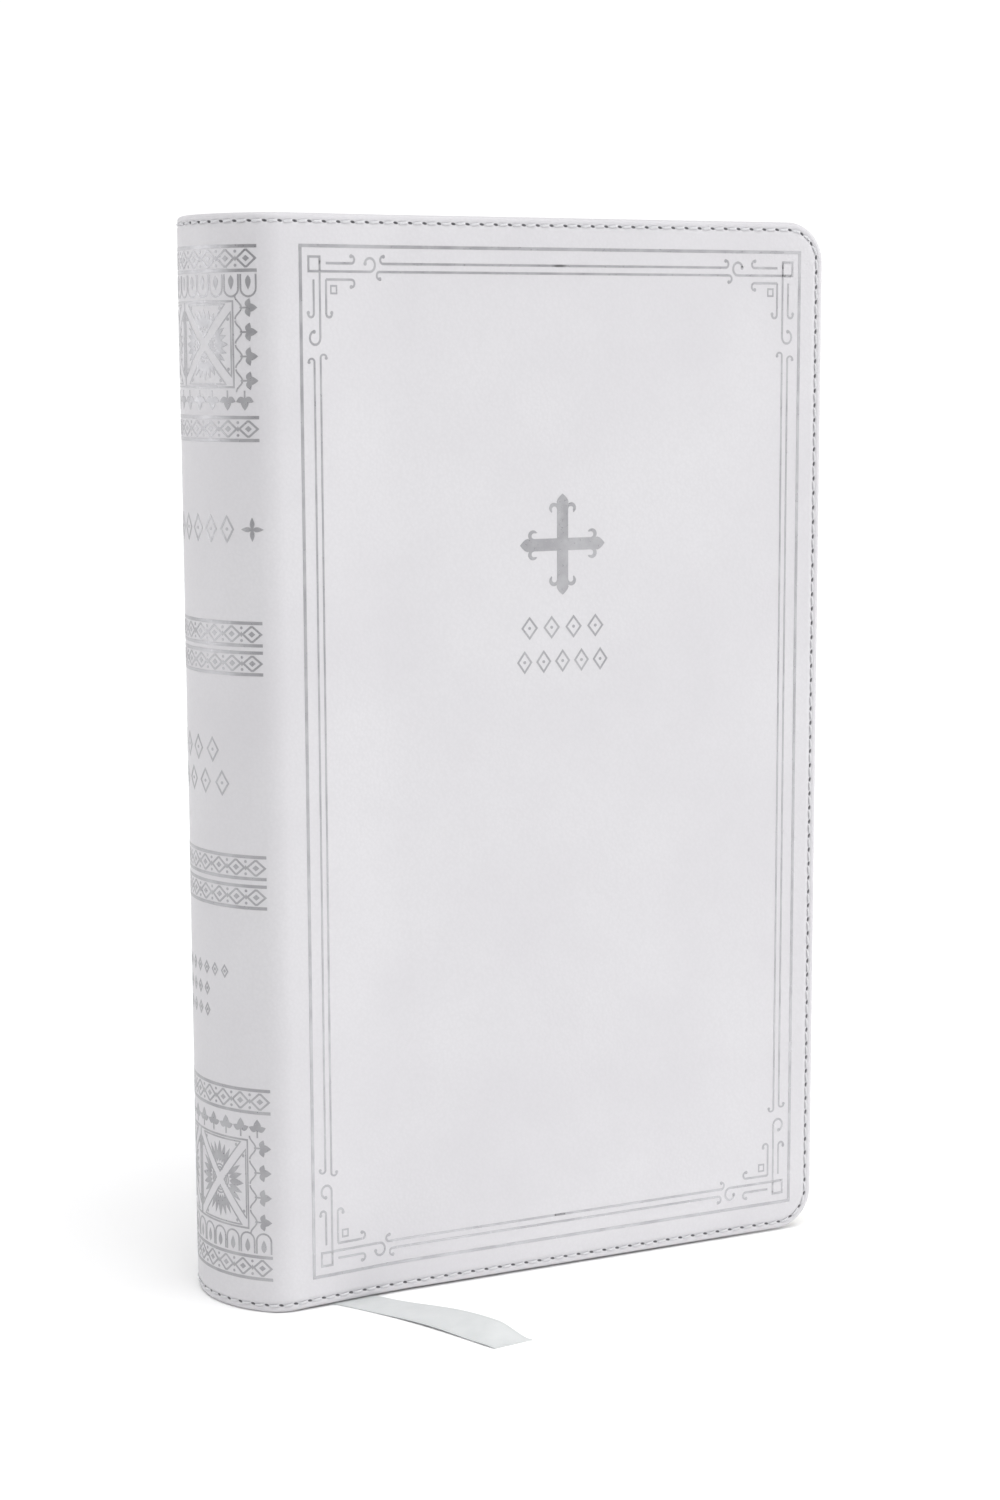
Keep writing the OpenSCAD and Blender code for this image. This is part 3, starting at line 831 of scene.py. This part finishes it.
class Stamp:
    """Foil shapes, drawn in u and z and kept as thin slabs on the case."""

    def __init__(self, step=1.0):
        self.points = []
        self.faces = []
        self.step = step
        self.moves = []

    def put(self, u, z, out):
        for move in reversed(self.moves):
            u, z = move(u, z)
        self.points.append([u, z, out])

    def at(self, u, z, flip_u=1, flip_z=1, swap=False, turn=0.0):
        """What is drawn next stands at (u, z), mirrored, swapped or turned."""
        cos, sin = math.cos(math.radians(turn)), math.sin(math.radians(turn))

        def move(a, b):
            if swap:
                a, b = b, a
            a, b = a * cos - b * sin, a * sin + b * cos
            return u + flip_u * a, z + flip_z * b

        self.moves.append(move)
        return self

    def __enter__(self):
        return self

    def __exit__(self, *_):
        self.moves.pop()

    def line(self, points, width, closed=False):
        """A stroke of one width along a line, with mitred bends."""
        points = spaced(points + points[:1] if closed else points, self.step)
        start = len(self.points)
        if closed:
            around = [points[-2]] + points + [points[1]]
        else:
            around = points[:1] + points + points[-1:]
        for before, (u, z), after in zip(around, points, around[2:]):
            nu, nz = mitre(before, (u, z), after)
            for across, out in ((-1, -FOIL_IN), (-1, FOIL_OUT), (1, FOIL_OUT), (1, -FOIL_IN)):
                reach = across * width / 2
                self.put(u + nu * reach, z + nz * reach, out)
        self.faces += tube_faces(start, len(points), 4, capped=False)
        if not closed:
            last = len(self.points) - 4
            self.faces.append([start + k for k in range(4)])
            self.faces.append([last + k for k in reversed(range(4))])

    def put_outline(self, outline):
        """Puts an outline on the foil's face and back. Returns the index of its first point."""
        start = len(self.points)
        for out in (FOIL_OUT, -FOIL_IN):
            for u, z in outline:
                self.put(u, z, out)
        return start

    def fill(self, outline):
        """A filled shape whose outline sees its middle."""
        count = len(outline)
        start = self.put_outline(outline)
        middle_u = sum(u for u, _ in outline) / count
        middle_z = sum(z for _, z in outline) / count
        self.put(middle_u, middle_z, FOIL_OUT)
        self.put(middle_u, middle_z, -FOIL_IN)
        top = start + 2 * count
        for i in range(count):
            j = (i + 1) % count
            self.faces.append([start + i, start + j, top])
            self.faces.append([start + count + j, start + count + i, top + 1])
            self.faces.append([start + j, start + i, start + count + i, start + count + j])

    def shape(self, outline):
        """A filled shape of any outline."""
        count = len(outline)
        start = self.put_outline(outline)
        for a, b, c in tessellate_polygon([[Vector((u, z, 0)) for u, z in outline]]):
            self.faces.append([start + a, start + b, start + c])
            self.faces.append([start + count + c, start + count + b, start + count + a])
        for i in range(count):
            j = (i + 1) % count
            self.faces.append([start + j, start + i, start + count + i, start + count + j])

    def dot(self, u, z, radius, pieces=10):
        self.fill(arc(u, z, radius, 0, 360 * (pieces - 1) / pieces, pieces - 1))

    def petal(self, u0, z0, u1, z1, width):
        """A pointed leaf between two points."""
        du, dz = u1 - u0, z1 - z0
        length = math.hypot(du, dz)
        nu, nz = -dz / length, du / length
        sides = {1: [], -1: []}
        for t in np.linspace(0, 1, 7):
            for side, points in sides.items():
                reach = side * width / 2 * math.sin(math.pi * t ** 0.8)
                points.append((u0 + du * t + nu * reach, z0 + dz * t + nz * reach))
        self.fill(sides[1] + sides[-1][-2:0:-1])

    def piece(self, name, body, node, material):
        made = make_piece(name, on_case(self.points), self.faces, material, weld=True, sharp=30)
        ride_piece(made, body, node)


def mitre(before, here, after):
    """Direction across a line at a bend, lengthened so that the stroke keeps its width."""
    a = Vector((here[0] - before[0], here[1] - before[1]))
    b = Vector((after[0] - here[0], after[1] - here[1]))
    a = a.normalized() if a.length > 1e-9 else b.normalized()
    b = b.normalized() if b.length > 1e-9 else a
    both = (a + b).normalized()
    grow = min(1.6, 1 / max(0.3, both.dot(a)))
    return -both.y * grow, both.x * grow


# Border of the front cover, in distances from a corner of its outer rule
RULE_W = 0.65
FINE_W = 0.4
SQUARE_AT = 2.0
INNER_RULE = 3.0
INNER_RULE_2 = 4.3
STUB_START = 5.6
STUB_END = 11
ARM_END = 14.9
RULES_START = 18.4
HOOK_R = 0.6
CURL_R = 1.1
BORDER_U0 = HINGE_U + 3.7
BORDER_U1 = FORE_U - 5.6
BORDER_IN = 6

# The corner figures are drawn a little larger along u and larger still along z
STRETCH_U = 1.04
STRETCH_Z = 1.22

# The upright rules start so many times as far from the corner as the level ones
UPRIGHT_SHARE = 1.24


def hooked_line(s, start, end, rule, bend, sweep):
    """Fine line from start to end, where it hooks to one side and ends in a dot. bend is -1
    for a hook towards the outer rule and 1 away from it, and sweep is where the hook ends."""
    hook = arc(end, rule + bend * HOOK_R, HOOK_R, -90 * bend, sweep * bend)
    s.line([(start, rule)] + hook, FINE_W)
    s.dot(end - math.copysign(0.1, sweep), rule + bend * (2 * HOOK_R - 0.05), 0.33)


def corner_arm(s):
    """Line that ends in a curl, with a hooked stub on both sides."""
    curl = arc(ARM_END, INNER_RULE_2 - CURL_R, CURL_R, 90, -165)
    s.line([(SQUARE_AT + 0.2, INNER_RULE_2)] + curl, FINE_W)
    s.dot(ARM_END - CURL_R + 0.12, INNER_RULE_2 - CURL_R - 0.2, 0.34)
    hooked_line(s, STUB_START, STUB_END, INNER_RULE, -1, 80)
    hooked_line(s, STUB_START, STUB_END, STUB_START, 1, 80)


def corner_figure(s):
    """Two arms, a square where they meet and a small one inside them."""
    corner_arm(s)
    with s.at(0, 0, swap=True):
        corner_arm(s)
    s.line(box_line(SQUARE_AT, SQUARE_AT, INNER_RULE_2, INNER_RULE_2), FINE_W, closed=True)
    low, high = STUB_START + 1.0, STUB_START + 2.2
    s.line(box_line(low, low, high, high), 0.3, closed=True)


def side_rules(s, length, start):
    """Two fine rules along one side, with a hook at each end."""
    for rule, bend, end in ((INNER_RULE, -1, start), (INNER_RULE_2, 1, start - 0.8)):
        for place, flip in ((0, 1), (length, -1)):
            with s.at(place, 0, flip_u=flip):
                hooked_line(s, length / 2, end, rule, bend, -260)


def front_border(material):
    """Outer rule, two fine inner rules and a figure of hooks and squares in each corner."""
    s = Stamp(step=2.0)
    width = BORDER_U1 - BORDER_U0
    height = CASE_H - 2 * BORDER_IN
    with s.at(BORDER_U0, BORDER_IN):
        half = RULE_W / 2
        s.line(box_line(half, half, width - half, height - half), RULE_W, closed=True)
        sides = ((0, STRETCH_U), (width, -STRETCH_U))
        ends = ((0, STRETCH_Z), (height, -STRETCH_Z))
        for u, flip_u in sides:
            for z, flip_z in ends:
                with s.at(u, z, flip_u, flip_z):
                    corner_figure(s)
        for z, flip in ends:
            with s.at(0, z, flip_z=flip):
                side_rules(s, width, RULES_START)
        for u, flip in sides:
            with s.at(u, 0, flip_u=flip), s.at(0, 0, swap=True):
                side_rules(s, height, UPRIGHT_SHARE * RULES_START)
    s.piece("front_border", "front_cover", "front_border_foil", material)


# Middle of the front cross, its reach and half the width of an arm
CROSS_U = HINGE_U + 62
CROSS_Z = 0.7 * CASE_H
CROSS_HALF = 10
CROSS_ARM = 1.28


def half_arm(length):
    """Right half of an arm's outline, from the crossing to its pointed tip."""
    barb_in = arc(1.9, length - 3.2, 0.58, 170, -10, 8)
    barb_out = arc(2.0, length - 2.95, 1.1, -50, 112, 12)
    tip = [(1.3, length - 2.05), (1.36, length - 1.65), (1.16, length - 1.15),
           (0.78, length - 0.68), (0.38, length - 0.3), (0, length)]
    return ([(CROSS_ARM, CROSS_ARM), (CROSS_ARM, length - 3.25)] + barb_in
            + [(2.42, length - 3.72), (2.6, length - 3.95)] + barb_out + tip)


def front_cross(material):
    """Cross whose arms end in a point and two barbs that hook back."""
    s = Stamp()
    outline = []
    for quarter in range(4):
        half = half_arm(CROSS_HALF * (1.05 if quarter % 2 == 0 else 0.98))
        left = [(-u, z) for u, z in half]
        cos, sin = ((1, 0), (0, 1), (-1, 0), (0, -1))[quarter]
        outline += [(u * cos - z * sin, u * sin + z * cos) for u, z in half + left[-2:0:-1]]
    with s.at(CROSS_U, CROSS_Z):
        s.shape(outline)
    s.piece("front_cross", "front_cover", "front_cross_foil", material)


def lozenge(s, u, z, width, height, stroke=0.42):
    """Open lozenge with a dot in it."""
    with s.at(u, z):
        s.line([(-width / 2, 0), (0, height / 2), (width / 2, 0), (0, -height / 2)], stroke,
               closed=True)
        s.dot(0, 0, 0.34)


def lozenge_row(s, u, z, count, step, width, height, stroke=0.42):
    for place in middles(count, count * step / 2):
        lozenge(s, u + place, z, width, height, stroke)


def front_title(material):
    """Two rows of lozenges where a title would stand."""
    s = Stamp()
    lozenge_row(s, CROSS_U, CROSS_Z - 17.2, 4, 5.1, 3.3, 4.2)
    lozenge_row(s, CROSS_U, CROSS_Z - 24.3, 5, 4.4, 3.0, 4.2)
    s.piece("front_title_lozenges", "front_cover", "front_title_ornament", material)


# Spine ornament: heights as shares of the case's height
SPINE_REACH = 20.4
RULES = [0.971, 0.950, 0.822, 0.802, 0.640, 0.620, 0.6135, 0.594,
         0.428, 0.408, 0.401, 0.381, 0.211, 0.190, 0.053, 0.032]
CHAIN_PITCH = 4.64
CELL_W = 15.3
ROW_H = 5.7


def chain_band(s, low, high):
    """Row of linked lozenges with dots between two rules."""
    middle = (low + high) / 2
    half = (high - low) / 2 - 0.75
    count = round(2 * SPINE_REACH / CHAIN_PITCH)
    pitch = 2 * SPINE_REACH / count
    for u in middles(count, SPINE_REACH):
        with s.at(u, middle):
            s.line([(-pitch / 2 + 0.3, 0), (-0.2, half), (0.2, half), (pitch / 2 - 0.3, 0),
                    (0.2, -half), (-0.2, -half)], 0.42, closed=True)
            s.fill([(-0.75, 0), (0, 0.62), (0.75, 0), (0, -0.62)])
    for u in middles(count - 1, SPINE_REACH - pitch / 2):
        for side in (1, -1):
            s.dot(u, middle + side * half * 0.85, 0.32, 8)
        s.petal(u, middle - 0.55, u, middle + 0.55, 0.5)


def trefoil(s, size=1.0):
    """Three leaves on a short stem, pointing along z."""
    s.petal(0, 0.5 * size, 0, 2.5 * size, 1.3 * size)
    for side in (1, -1):
        s.petal(side * 0.1, 0.65 * size, side * 1.45 * size, 1.2 * size, 0.95 * size)
    s.line([(0, -0.5 * size), (0, 0.8 * size)], 0.34)


def trefoil_column(s, low, high, side):
    """Trefoils beside the cells, pointing away from the middle, with bows between them."""
    count = 4
    pitch = (high - low) / count
    for i in range(count):
        z = low + (i + 0.5) * pitch
        with s.at(side * (CELL_W + 2.0), z, turn=-90 * side):
            trefoil(s, 1.24)
        half = pitch / 2 - 0.15
        bow = [(side * (CELL_W + 0.35 + 0.7 * (1 - math.cos(t))), z - half + half * t / math.pi)
               for t in np.linspace(0, 2 * math.pi, 13)]
        s.line(bow, 0.32)


def palmette(s, reach):
    """Fan of leaves in a triangle cell, from its point at the origin along z."""
    for angle, length, width in ((0, 1.0, 1.5), (17, 0.97, 1.25), (-17, 0.97, 1.25),
                                 (32, 1.0, 1.1), (-32, 1.0, 1.1)):
        a = math.radians(angle)
        start, end = 0.36 * reach, length * reach
        s.petal(start * math.sin(a), start * math.cos(a), end * math.sin(a),
                end * math.cos(a), width)
    for radius in (0.21, 0.30):
        s.line(arc(0, 0, radius * reach, 50, 130, 6), 0.32)
    s.dot(0, 0.12 * reach, 0.28, 8)


def cell(s, u, z, width, height):
    """Framed cell, crossed by a bare saltire, with a palmette in each quarter."""
    half = height / 2
    frame_in = half - 0.2
    inner = half - 0.75
    gap = 1.5
    with s.at(u, z, flip_u=width / height):
        s.line(box_line(-frame_in, -frame_in, frame_in, frame_in), 0.38, closed=True)
        for quarter in range(4):
            with s.at(0, 0, turn=90 * quarter):
                s.line([(0, gap), (inner - gap, inner), (-(inner - gap), inner)], 0.32,
                       closed=True)
                with s.at(0, gap * 0.6):
                    palmette(s, inner - gap * 0.6 - 0.75)
                for side in (1, -1):
                    s.dot(side * (inner - 2.9), inner - 0.75, 0.36, 8)


def arch_row(s, base, height, flip):
    """Round arches with a drop in each, standing on a base line."""
    count = 11
    radius = SPINE_REACH / count - 0.25
    for u in middles(count, SPINE_REACH):
        with s.at(u, base, flip_z=flip):
            s.line([(radius, 0.3)] + arc(0, height - radius - 0.4, radius, 0, 180)
                   + [(-radius, 0.3)], 0.36)
            s.petal(0, 0.5, 0, height - 1.7, 1.15)


def fleuron_row(s, base, flip):
    """Small trefoils standing on the square cells."""
    for u in middles(10, SPINE_REACH - 1.0):
        with s.at(u, base, flip_z=flip):
            trefoil(s, 1.3)


def panel(s, low, high, arches_low):
    """Panel between two chain bands: arches, two cells and fleurons."""
    bottom = low + ROW_H
    top = high - ROW_H
    for side in (1, -1):
        cell(s, side * CELL_W / 2, (bottom + top) / 2, CELL_W, top - bottom)
        trefoil_column(s, bottom - 0.9, top + 0.9, side)
    if arches_low:
        arch_row(s, low + 0.4, ROW_H - 0.7, 1)
        fleuron_row(s, top + 1.1, 1)
    else:
        arch_row(s, high - 0.4, ROW_H - 0.7, -1)
        fleuron_row(s, bottom - 1.1, -1)


def spine_cross(s, u, z, size):
    """Small cross of four leaves."""
    with s.at(u, z):
        for quarter in range(4):
            with s.at(0, 0, turn=90 * quarter):
                s.petal(0, 0, 0, size, size * 0.42)
                s.fill([(-0.2, -0.2), (0.2, -0.2), (0.25, size * 0.6), (-0.25, size * 0.6)])


def spine_foil(material):
    """Rules, chain bands, two panels and rows of lozenges across the spine."""
    s = Stamp(step=0.7)
    rules = [share * CASE_H for share in RULES]
    for z in rules:
        s.line([(-SPINE_REACH, z), (SPINE_REACH, z)], RULE_W)
    for high, low in zip(rules[::2], rules[1::2]):
        chain_band(s, low, high)
    panel(s, rules[2], rules[1], arches_low=False)
    panel(s, rules[14], rules[13], arches_low=True)
    title_z = 0.7234 * CASE_H
    for side in (1, -1):
        spine_cross(s, side * 18.6, title_z, 2.4)
    lozenge_row(s, 0, title_z, 7, 4.3, 3.0, 5.0)
    lozenge_row(s, 0, 0.5235 * CASE_H, 4, 5.2, 3.3, 4.6)
    lozenge_row(s, 0, 0.4937 * CASE_H, 5, 5.2, 3.3, 4.6)
    for count, share in ((8, 0.3195), (4, 0.2995), (4, 0.2795)):
        lozenge_row(s, 0, share * CASE_H, count, 2.9, 1.7, 2.4, 0.32)
    s.piece("spine_ornament", "root", "spine_foil", material)


# ---- pages ----

# Half the length about a page's joint over which its edge has close steps
FOLD_RUN = 6

# Up to this many levels make a group of leaves. More make a section, which follows the rounding
THIN_LEVELS = 4


def spine_x(y):
    """Rounded spine of the text block."""
    return BLOCK_X - math.sqrt(BLOCK_R ** 2 - y * y)


def page_edge(left, pivot, right, trim):
    """Points (x, z) along the tail of a page, from its fold round the corner at the fore-edge."""
    stations = [*np.linspace(left, pivot - FOLD_RUN - 1, 4),
                *np.linspace(pivot - FOLD_RUN, pivot + FOLD_RUN, 13),
                *np.linspace(pivot + 2 * FOLD_RUN, right - PAGE_R, 8)]
    low = Z_TAIL + trim
    corner = [(right - PAGE_R + PAGE_R * math.sin(a), low + PAGE_R * (1 - math.cos(a)))
              for a in np.linspace(0, math.pi / 2, 13)[1:]]
    return [(x, low) for x in stations] + corner


def slab(name, body, material, levels, fold, pinch, nodes):
    """Closed block of pages, from its fold at the spine to the fore-edge. The corners at the
    fore-edge are round, and each level stands out a little more or less than the next."""
    low, high = box_mm(body)
    side = -1 if high.y < 0 else 1
    y_near, y_far = sorted((abs(low.y), abs(high.y)))
    if y_near < 1:
        # The innermost section leaves room for the ribbon
        y_near = RIBBON_T / 2 + 0.03
    middle = (y_near + y_far) / 2
    pivot = joint_of[body]["pos_m"][0] / MM
    points = []
    rng = random.Random(body)
    for level in range(levels):
        share = level / (levels - 1)
        y = y_near + (y_far - y_near) * share
        right = spine_x(y if levels > THIN_LEVELS else Y_CORE) + LEAF_W + rng.uniform(-0.09, 0.02)
        bulge = fold * (1 - math.sqrt(max(0, 1 - (2 * share - 1) ** 2)))
        edge = []
        for x, z in page_edge(spine_x(middle) + bulge, pivot, right, rng.uniform(0, 0.05)):
            squeeze = 1 - pinch * math.exp(-((x - pivot) / 4) ** 2)
            edge.append([x, side * (middle + (y - middle) * squeeze), z])
        points += edge + [[x, y_here, CASE_H - z] for x, y_here, z in reversed(edge)]
    width = len(points) // levels
    faces = tube_faces(0, levels, width, capped=False)
    for base in (0, (levels - 1) * width):
        for i in range(width // 2 - 1):
            a, b = base + i, base + width - 1 - i
            faces.append([a, b, b - 1, a + 1])
    piece = make_piece(name, points, faces, material, sharp=60)
    broad = piece.data.attributes.new("page_face", "FLOAT", "FACE")
    broad.data.foreach_set("value", [float(abs(face.normal.y) > 0.7)
                                     for face in piece.data.polygons])
    blend_piece(piece, nodes)


def all_pages(page, fly):
    """Twelve sections, and on both sides three groups of thin leaves and a flyleaf."""
    for number in range(1, 13):
        body = f"section_{number:02d}"
        nodes = [body, "sewn_folds"] if number == 6 else [body]
        slab(f"{body}_pages", body, page, 21, 0.7, 0.16, nodes)
    for half in ("front", "back"):
        for letter in "abc":
            body = f"{half}_leaves_{letter}"
            slab(f"{body}_pages", body, page, 4, 0.05, 0.0, [body])
        body = f"{half}_flyleaf"
        slab(f"{body}_sheet", body, fly, 2, 0.0, 0.0, [body])


# ---- head and tail bands ----

BAND_TURNS = 74


def sewn_band(name, node, material):
    """Bead wound with thread over a core, along the rounded spine of the block."""
    low, high = box_mm(node)
    z = (low.z + high.z) / 2
    radius = (high.z - low.z) / 2
    half_angle = math.asin(Y_CORE / BLOCK_R) - math.radians(2)
    per_turn = 6
    rings = BAND_TURNS * per_turn + 1
    sides = 12
    points = []
    for i in range(rings):
        a = half_angle * (2 * i / (rings - 1) - 1)
        cord = radius * (0.86 + 0.12 * abs(math.sin(math.pi * i / per_turn)))
        if i in (0, rings - 1):
            cord *= 0.7
        for k in range(sides):
            b = 2 * math.pi * k / sides
            reach = BLOCK_R - radius + cord * math.cos(b)
            points.append([BLOCK_X - reach * math.cos(a), reach * math.sin(a),
                           z + cord * math.sin(b)])
    piece = make_piece(name, points, tube_faces(0, rings, sides), material)
    ride_piece(piece, "root", node)


# ---- ribbon ----

RIBBON_W = 8.5
RIBBON_T = 0.2

# Heights where it starts in the block, where it starts to turn out and of the turn's middle
RIBBON_TOP = 216
TURN_TOP = 4
TURN_Z = 1.75
TURN_R = 1.6

# On the floor: end and bow of its middle line, height, rise towards the end and slope of a side
TIP = Vector((-23.6, -55.1))
BOW = Vector((0.886, 0.464)) * 2.6
FLOOR_Z = 0.13
RISE = 0.7
TWIST = 0.22

# The cut end is slanted, over its last steps
SLANT = 1.5
SLANT_STEPS = 16


def ribbon_path():
    """Middle line and width direction of the ribbon, step by step: down through the block,
    round the tail and out over the floor to its cut end."""
    x0 = box_mm("ribbon_marker")[0].x + RIBBON_W / 2
    rows = [((x0, 0, z), (1, 0, 0)) for z in np.linspace(RIBBON_TOP, TURN_TOP, 60)]
    for a in np.linspace(0, math.pi / 2, 9)[1:]:
        y = TURN_R * (math.cos(a) - 1)
        rows.append(((x0, y, TURN_Z - TURN_R * math.sin(a)), (1, 0, 0)))
    start = Vector((x0, -TURN_R - 0.3))

    def run(t):
        return start.lerp(TIP, t) + BOW * math.sin(math.pi * t) ** 1.3

    count = 90
    for i in range(count + 1):
        t = i / count
        ahead = run(min(1, t + 0.02)) - run(max(0, t - 0.02))
        angle = math.atan2(ahead.x, -ahead.y) * float(smooth(t * 3))
        free = max(0.0, (t - 0.34) / 0.66)
        z = FLOOR_Z + RISE * math.sin(math.pi * min(1, free * 1.1)) ** 2 * free
        twist = TWIST * float(smooth((t - 0.4) / 0.5) * smooth((1 - t) / 0.13))
        side = (math.cos(angle), math.sin(angle), twist)
        rows.append(((*run(t), z + twist * RIBBON_W / 2), side))
    return rows


def strip_faces(rows, n):
    """Faces of a strip that has n points on each side in every row."""
    faces = []
    for i in range(rows - 1):
        a, b = 2 * n * i, 2 * n * (i + 1)
        for k in range(n - 1):
            faces.append([a + k, a + k + 1, b + k + 1, b + k])
            faces.append([a + n + k, b + n + k, b + n + k + 1, a + n + k + 1])
        faces.append([a, b, b + n, a + n])
        faces.append([a + n - 1, a + 2 * n - 1, b + 2 * n - 1, b + n - 1])
    for base in (0, 2 * n * (rows - 1)):
        for k in range(n - 1):
            faces.append([base + k, base + n + k, base + n + k + 1, base + k + 1])
    return faces


def ribbon(material):
    rows = ribbon_path()
    shares = [-1, -0.94, -0.5, 0, 0.5, 0.94, 1]
    section = [(share, face) for face in (-1, 1) for share in shares]
    centres = [Vector(centre) for centre, _ in rows]
    points, along = [], []
    length = 0.0
    for i, (_, side) in enumerate(rows):
        if i:
            length += (centres[i] - centres[i - 1]).length
        ahead = (centres[min(i + 1, len(rows) - 1)] - centres[max(i - 1, 0)]).normalized()
        across = Vector(side).normalized()
        up = across.cross(ahead).normalized()
        slant = SLANT * float(smooth(1 - (len(rows) - 1 - i) / SLANT_STEPS))
        for share, face in section:
            thin = RIBBON_T / 2 * (0.55 if abs(share) == 1 else 1)
            points.append(centres[i] + ahead * (slant * share)
                          + across * (share * RIBBON_W / 2) + up * (face * thin))
            along.append([length, share * RIBBON_W / 2, 0])
    faces = strip_faces(len(rows), len(shares))
    piece = make_piece("ribbon", points, faces, material, {"along": along}, sharp=70)
    ride_piece(piece, "root", "ribbon_marker")


# ---- the whole ----

def finish_nodes():
    """Materials of the CAD nodes that stay."""
    sheet = endpaper("pastedown_paper", (0.82, 0.815, 0.80), (0.77, 0.765, 0.745), cad=True)
    cloth = open_cloth("mull_cloth", (0.78, 0.74, 0.64), (0.55, 0.50, 0.40), 0.9)
    looks = [(("front_board", "back_board", "spine_inlay"), board(), "board"),
             (("front_pastedown", "back_pastedown"), sheet, "endpaper"),
             (("mull",), cloth, "mull_cloth"),
             (("spine_liner",), liner(), "liner_paper"),
             (("sewing_thread",), sewing(), "stitch_thread")]
    for names, material, slot in looks:
        for node in (frame["nodes"][name] for name in names):
            node.data.materials.clear()
            node.data.materials.append(material)


def make_case():
    skin = leather()
    skin_half("front_case_skin", 1, skin, ["front_cover_leather"])
    skin_half("back_case_skin", -1, skin, ["back_cover_leather", "spine_leather"])
    white = thread()
    stitches("front_stitches", 1, white, ["front_stitching"])
    stitches("back_stitches", -1, white, ["back_stitching", "spine_stitching"])
    inside = lining()
    lining_sheet("front_lining_sheet", 1, inside, "front_lining")
    lining_sheet("back_lining_sheet", -1, inside, "back_lining")


def make_foil():
    silver = foil()
    front_border(silver)
    front_cross(silver)
    front_title(silver)
    spine_foil(silver)


make_camera()
make_studio()
make_floor()
make_case()
make_foil()
all_pages(paper(), endpaper("flyleaf_paper", (0.83, 0.825, 0.81), (0.78, 0.775, 0.755)))
wound = band_thread()
sewn_band("head_band_sewn", "head_band", wound)
sewn_band("tail_band_sewn", "tail_band", wound)
ribbon(satin())
finish_nodes()

bpy.context.view_layer.update()
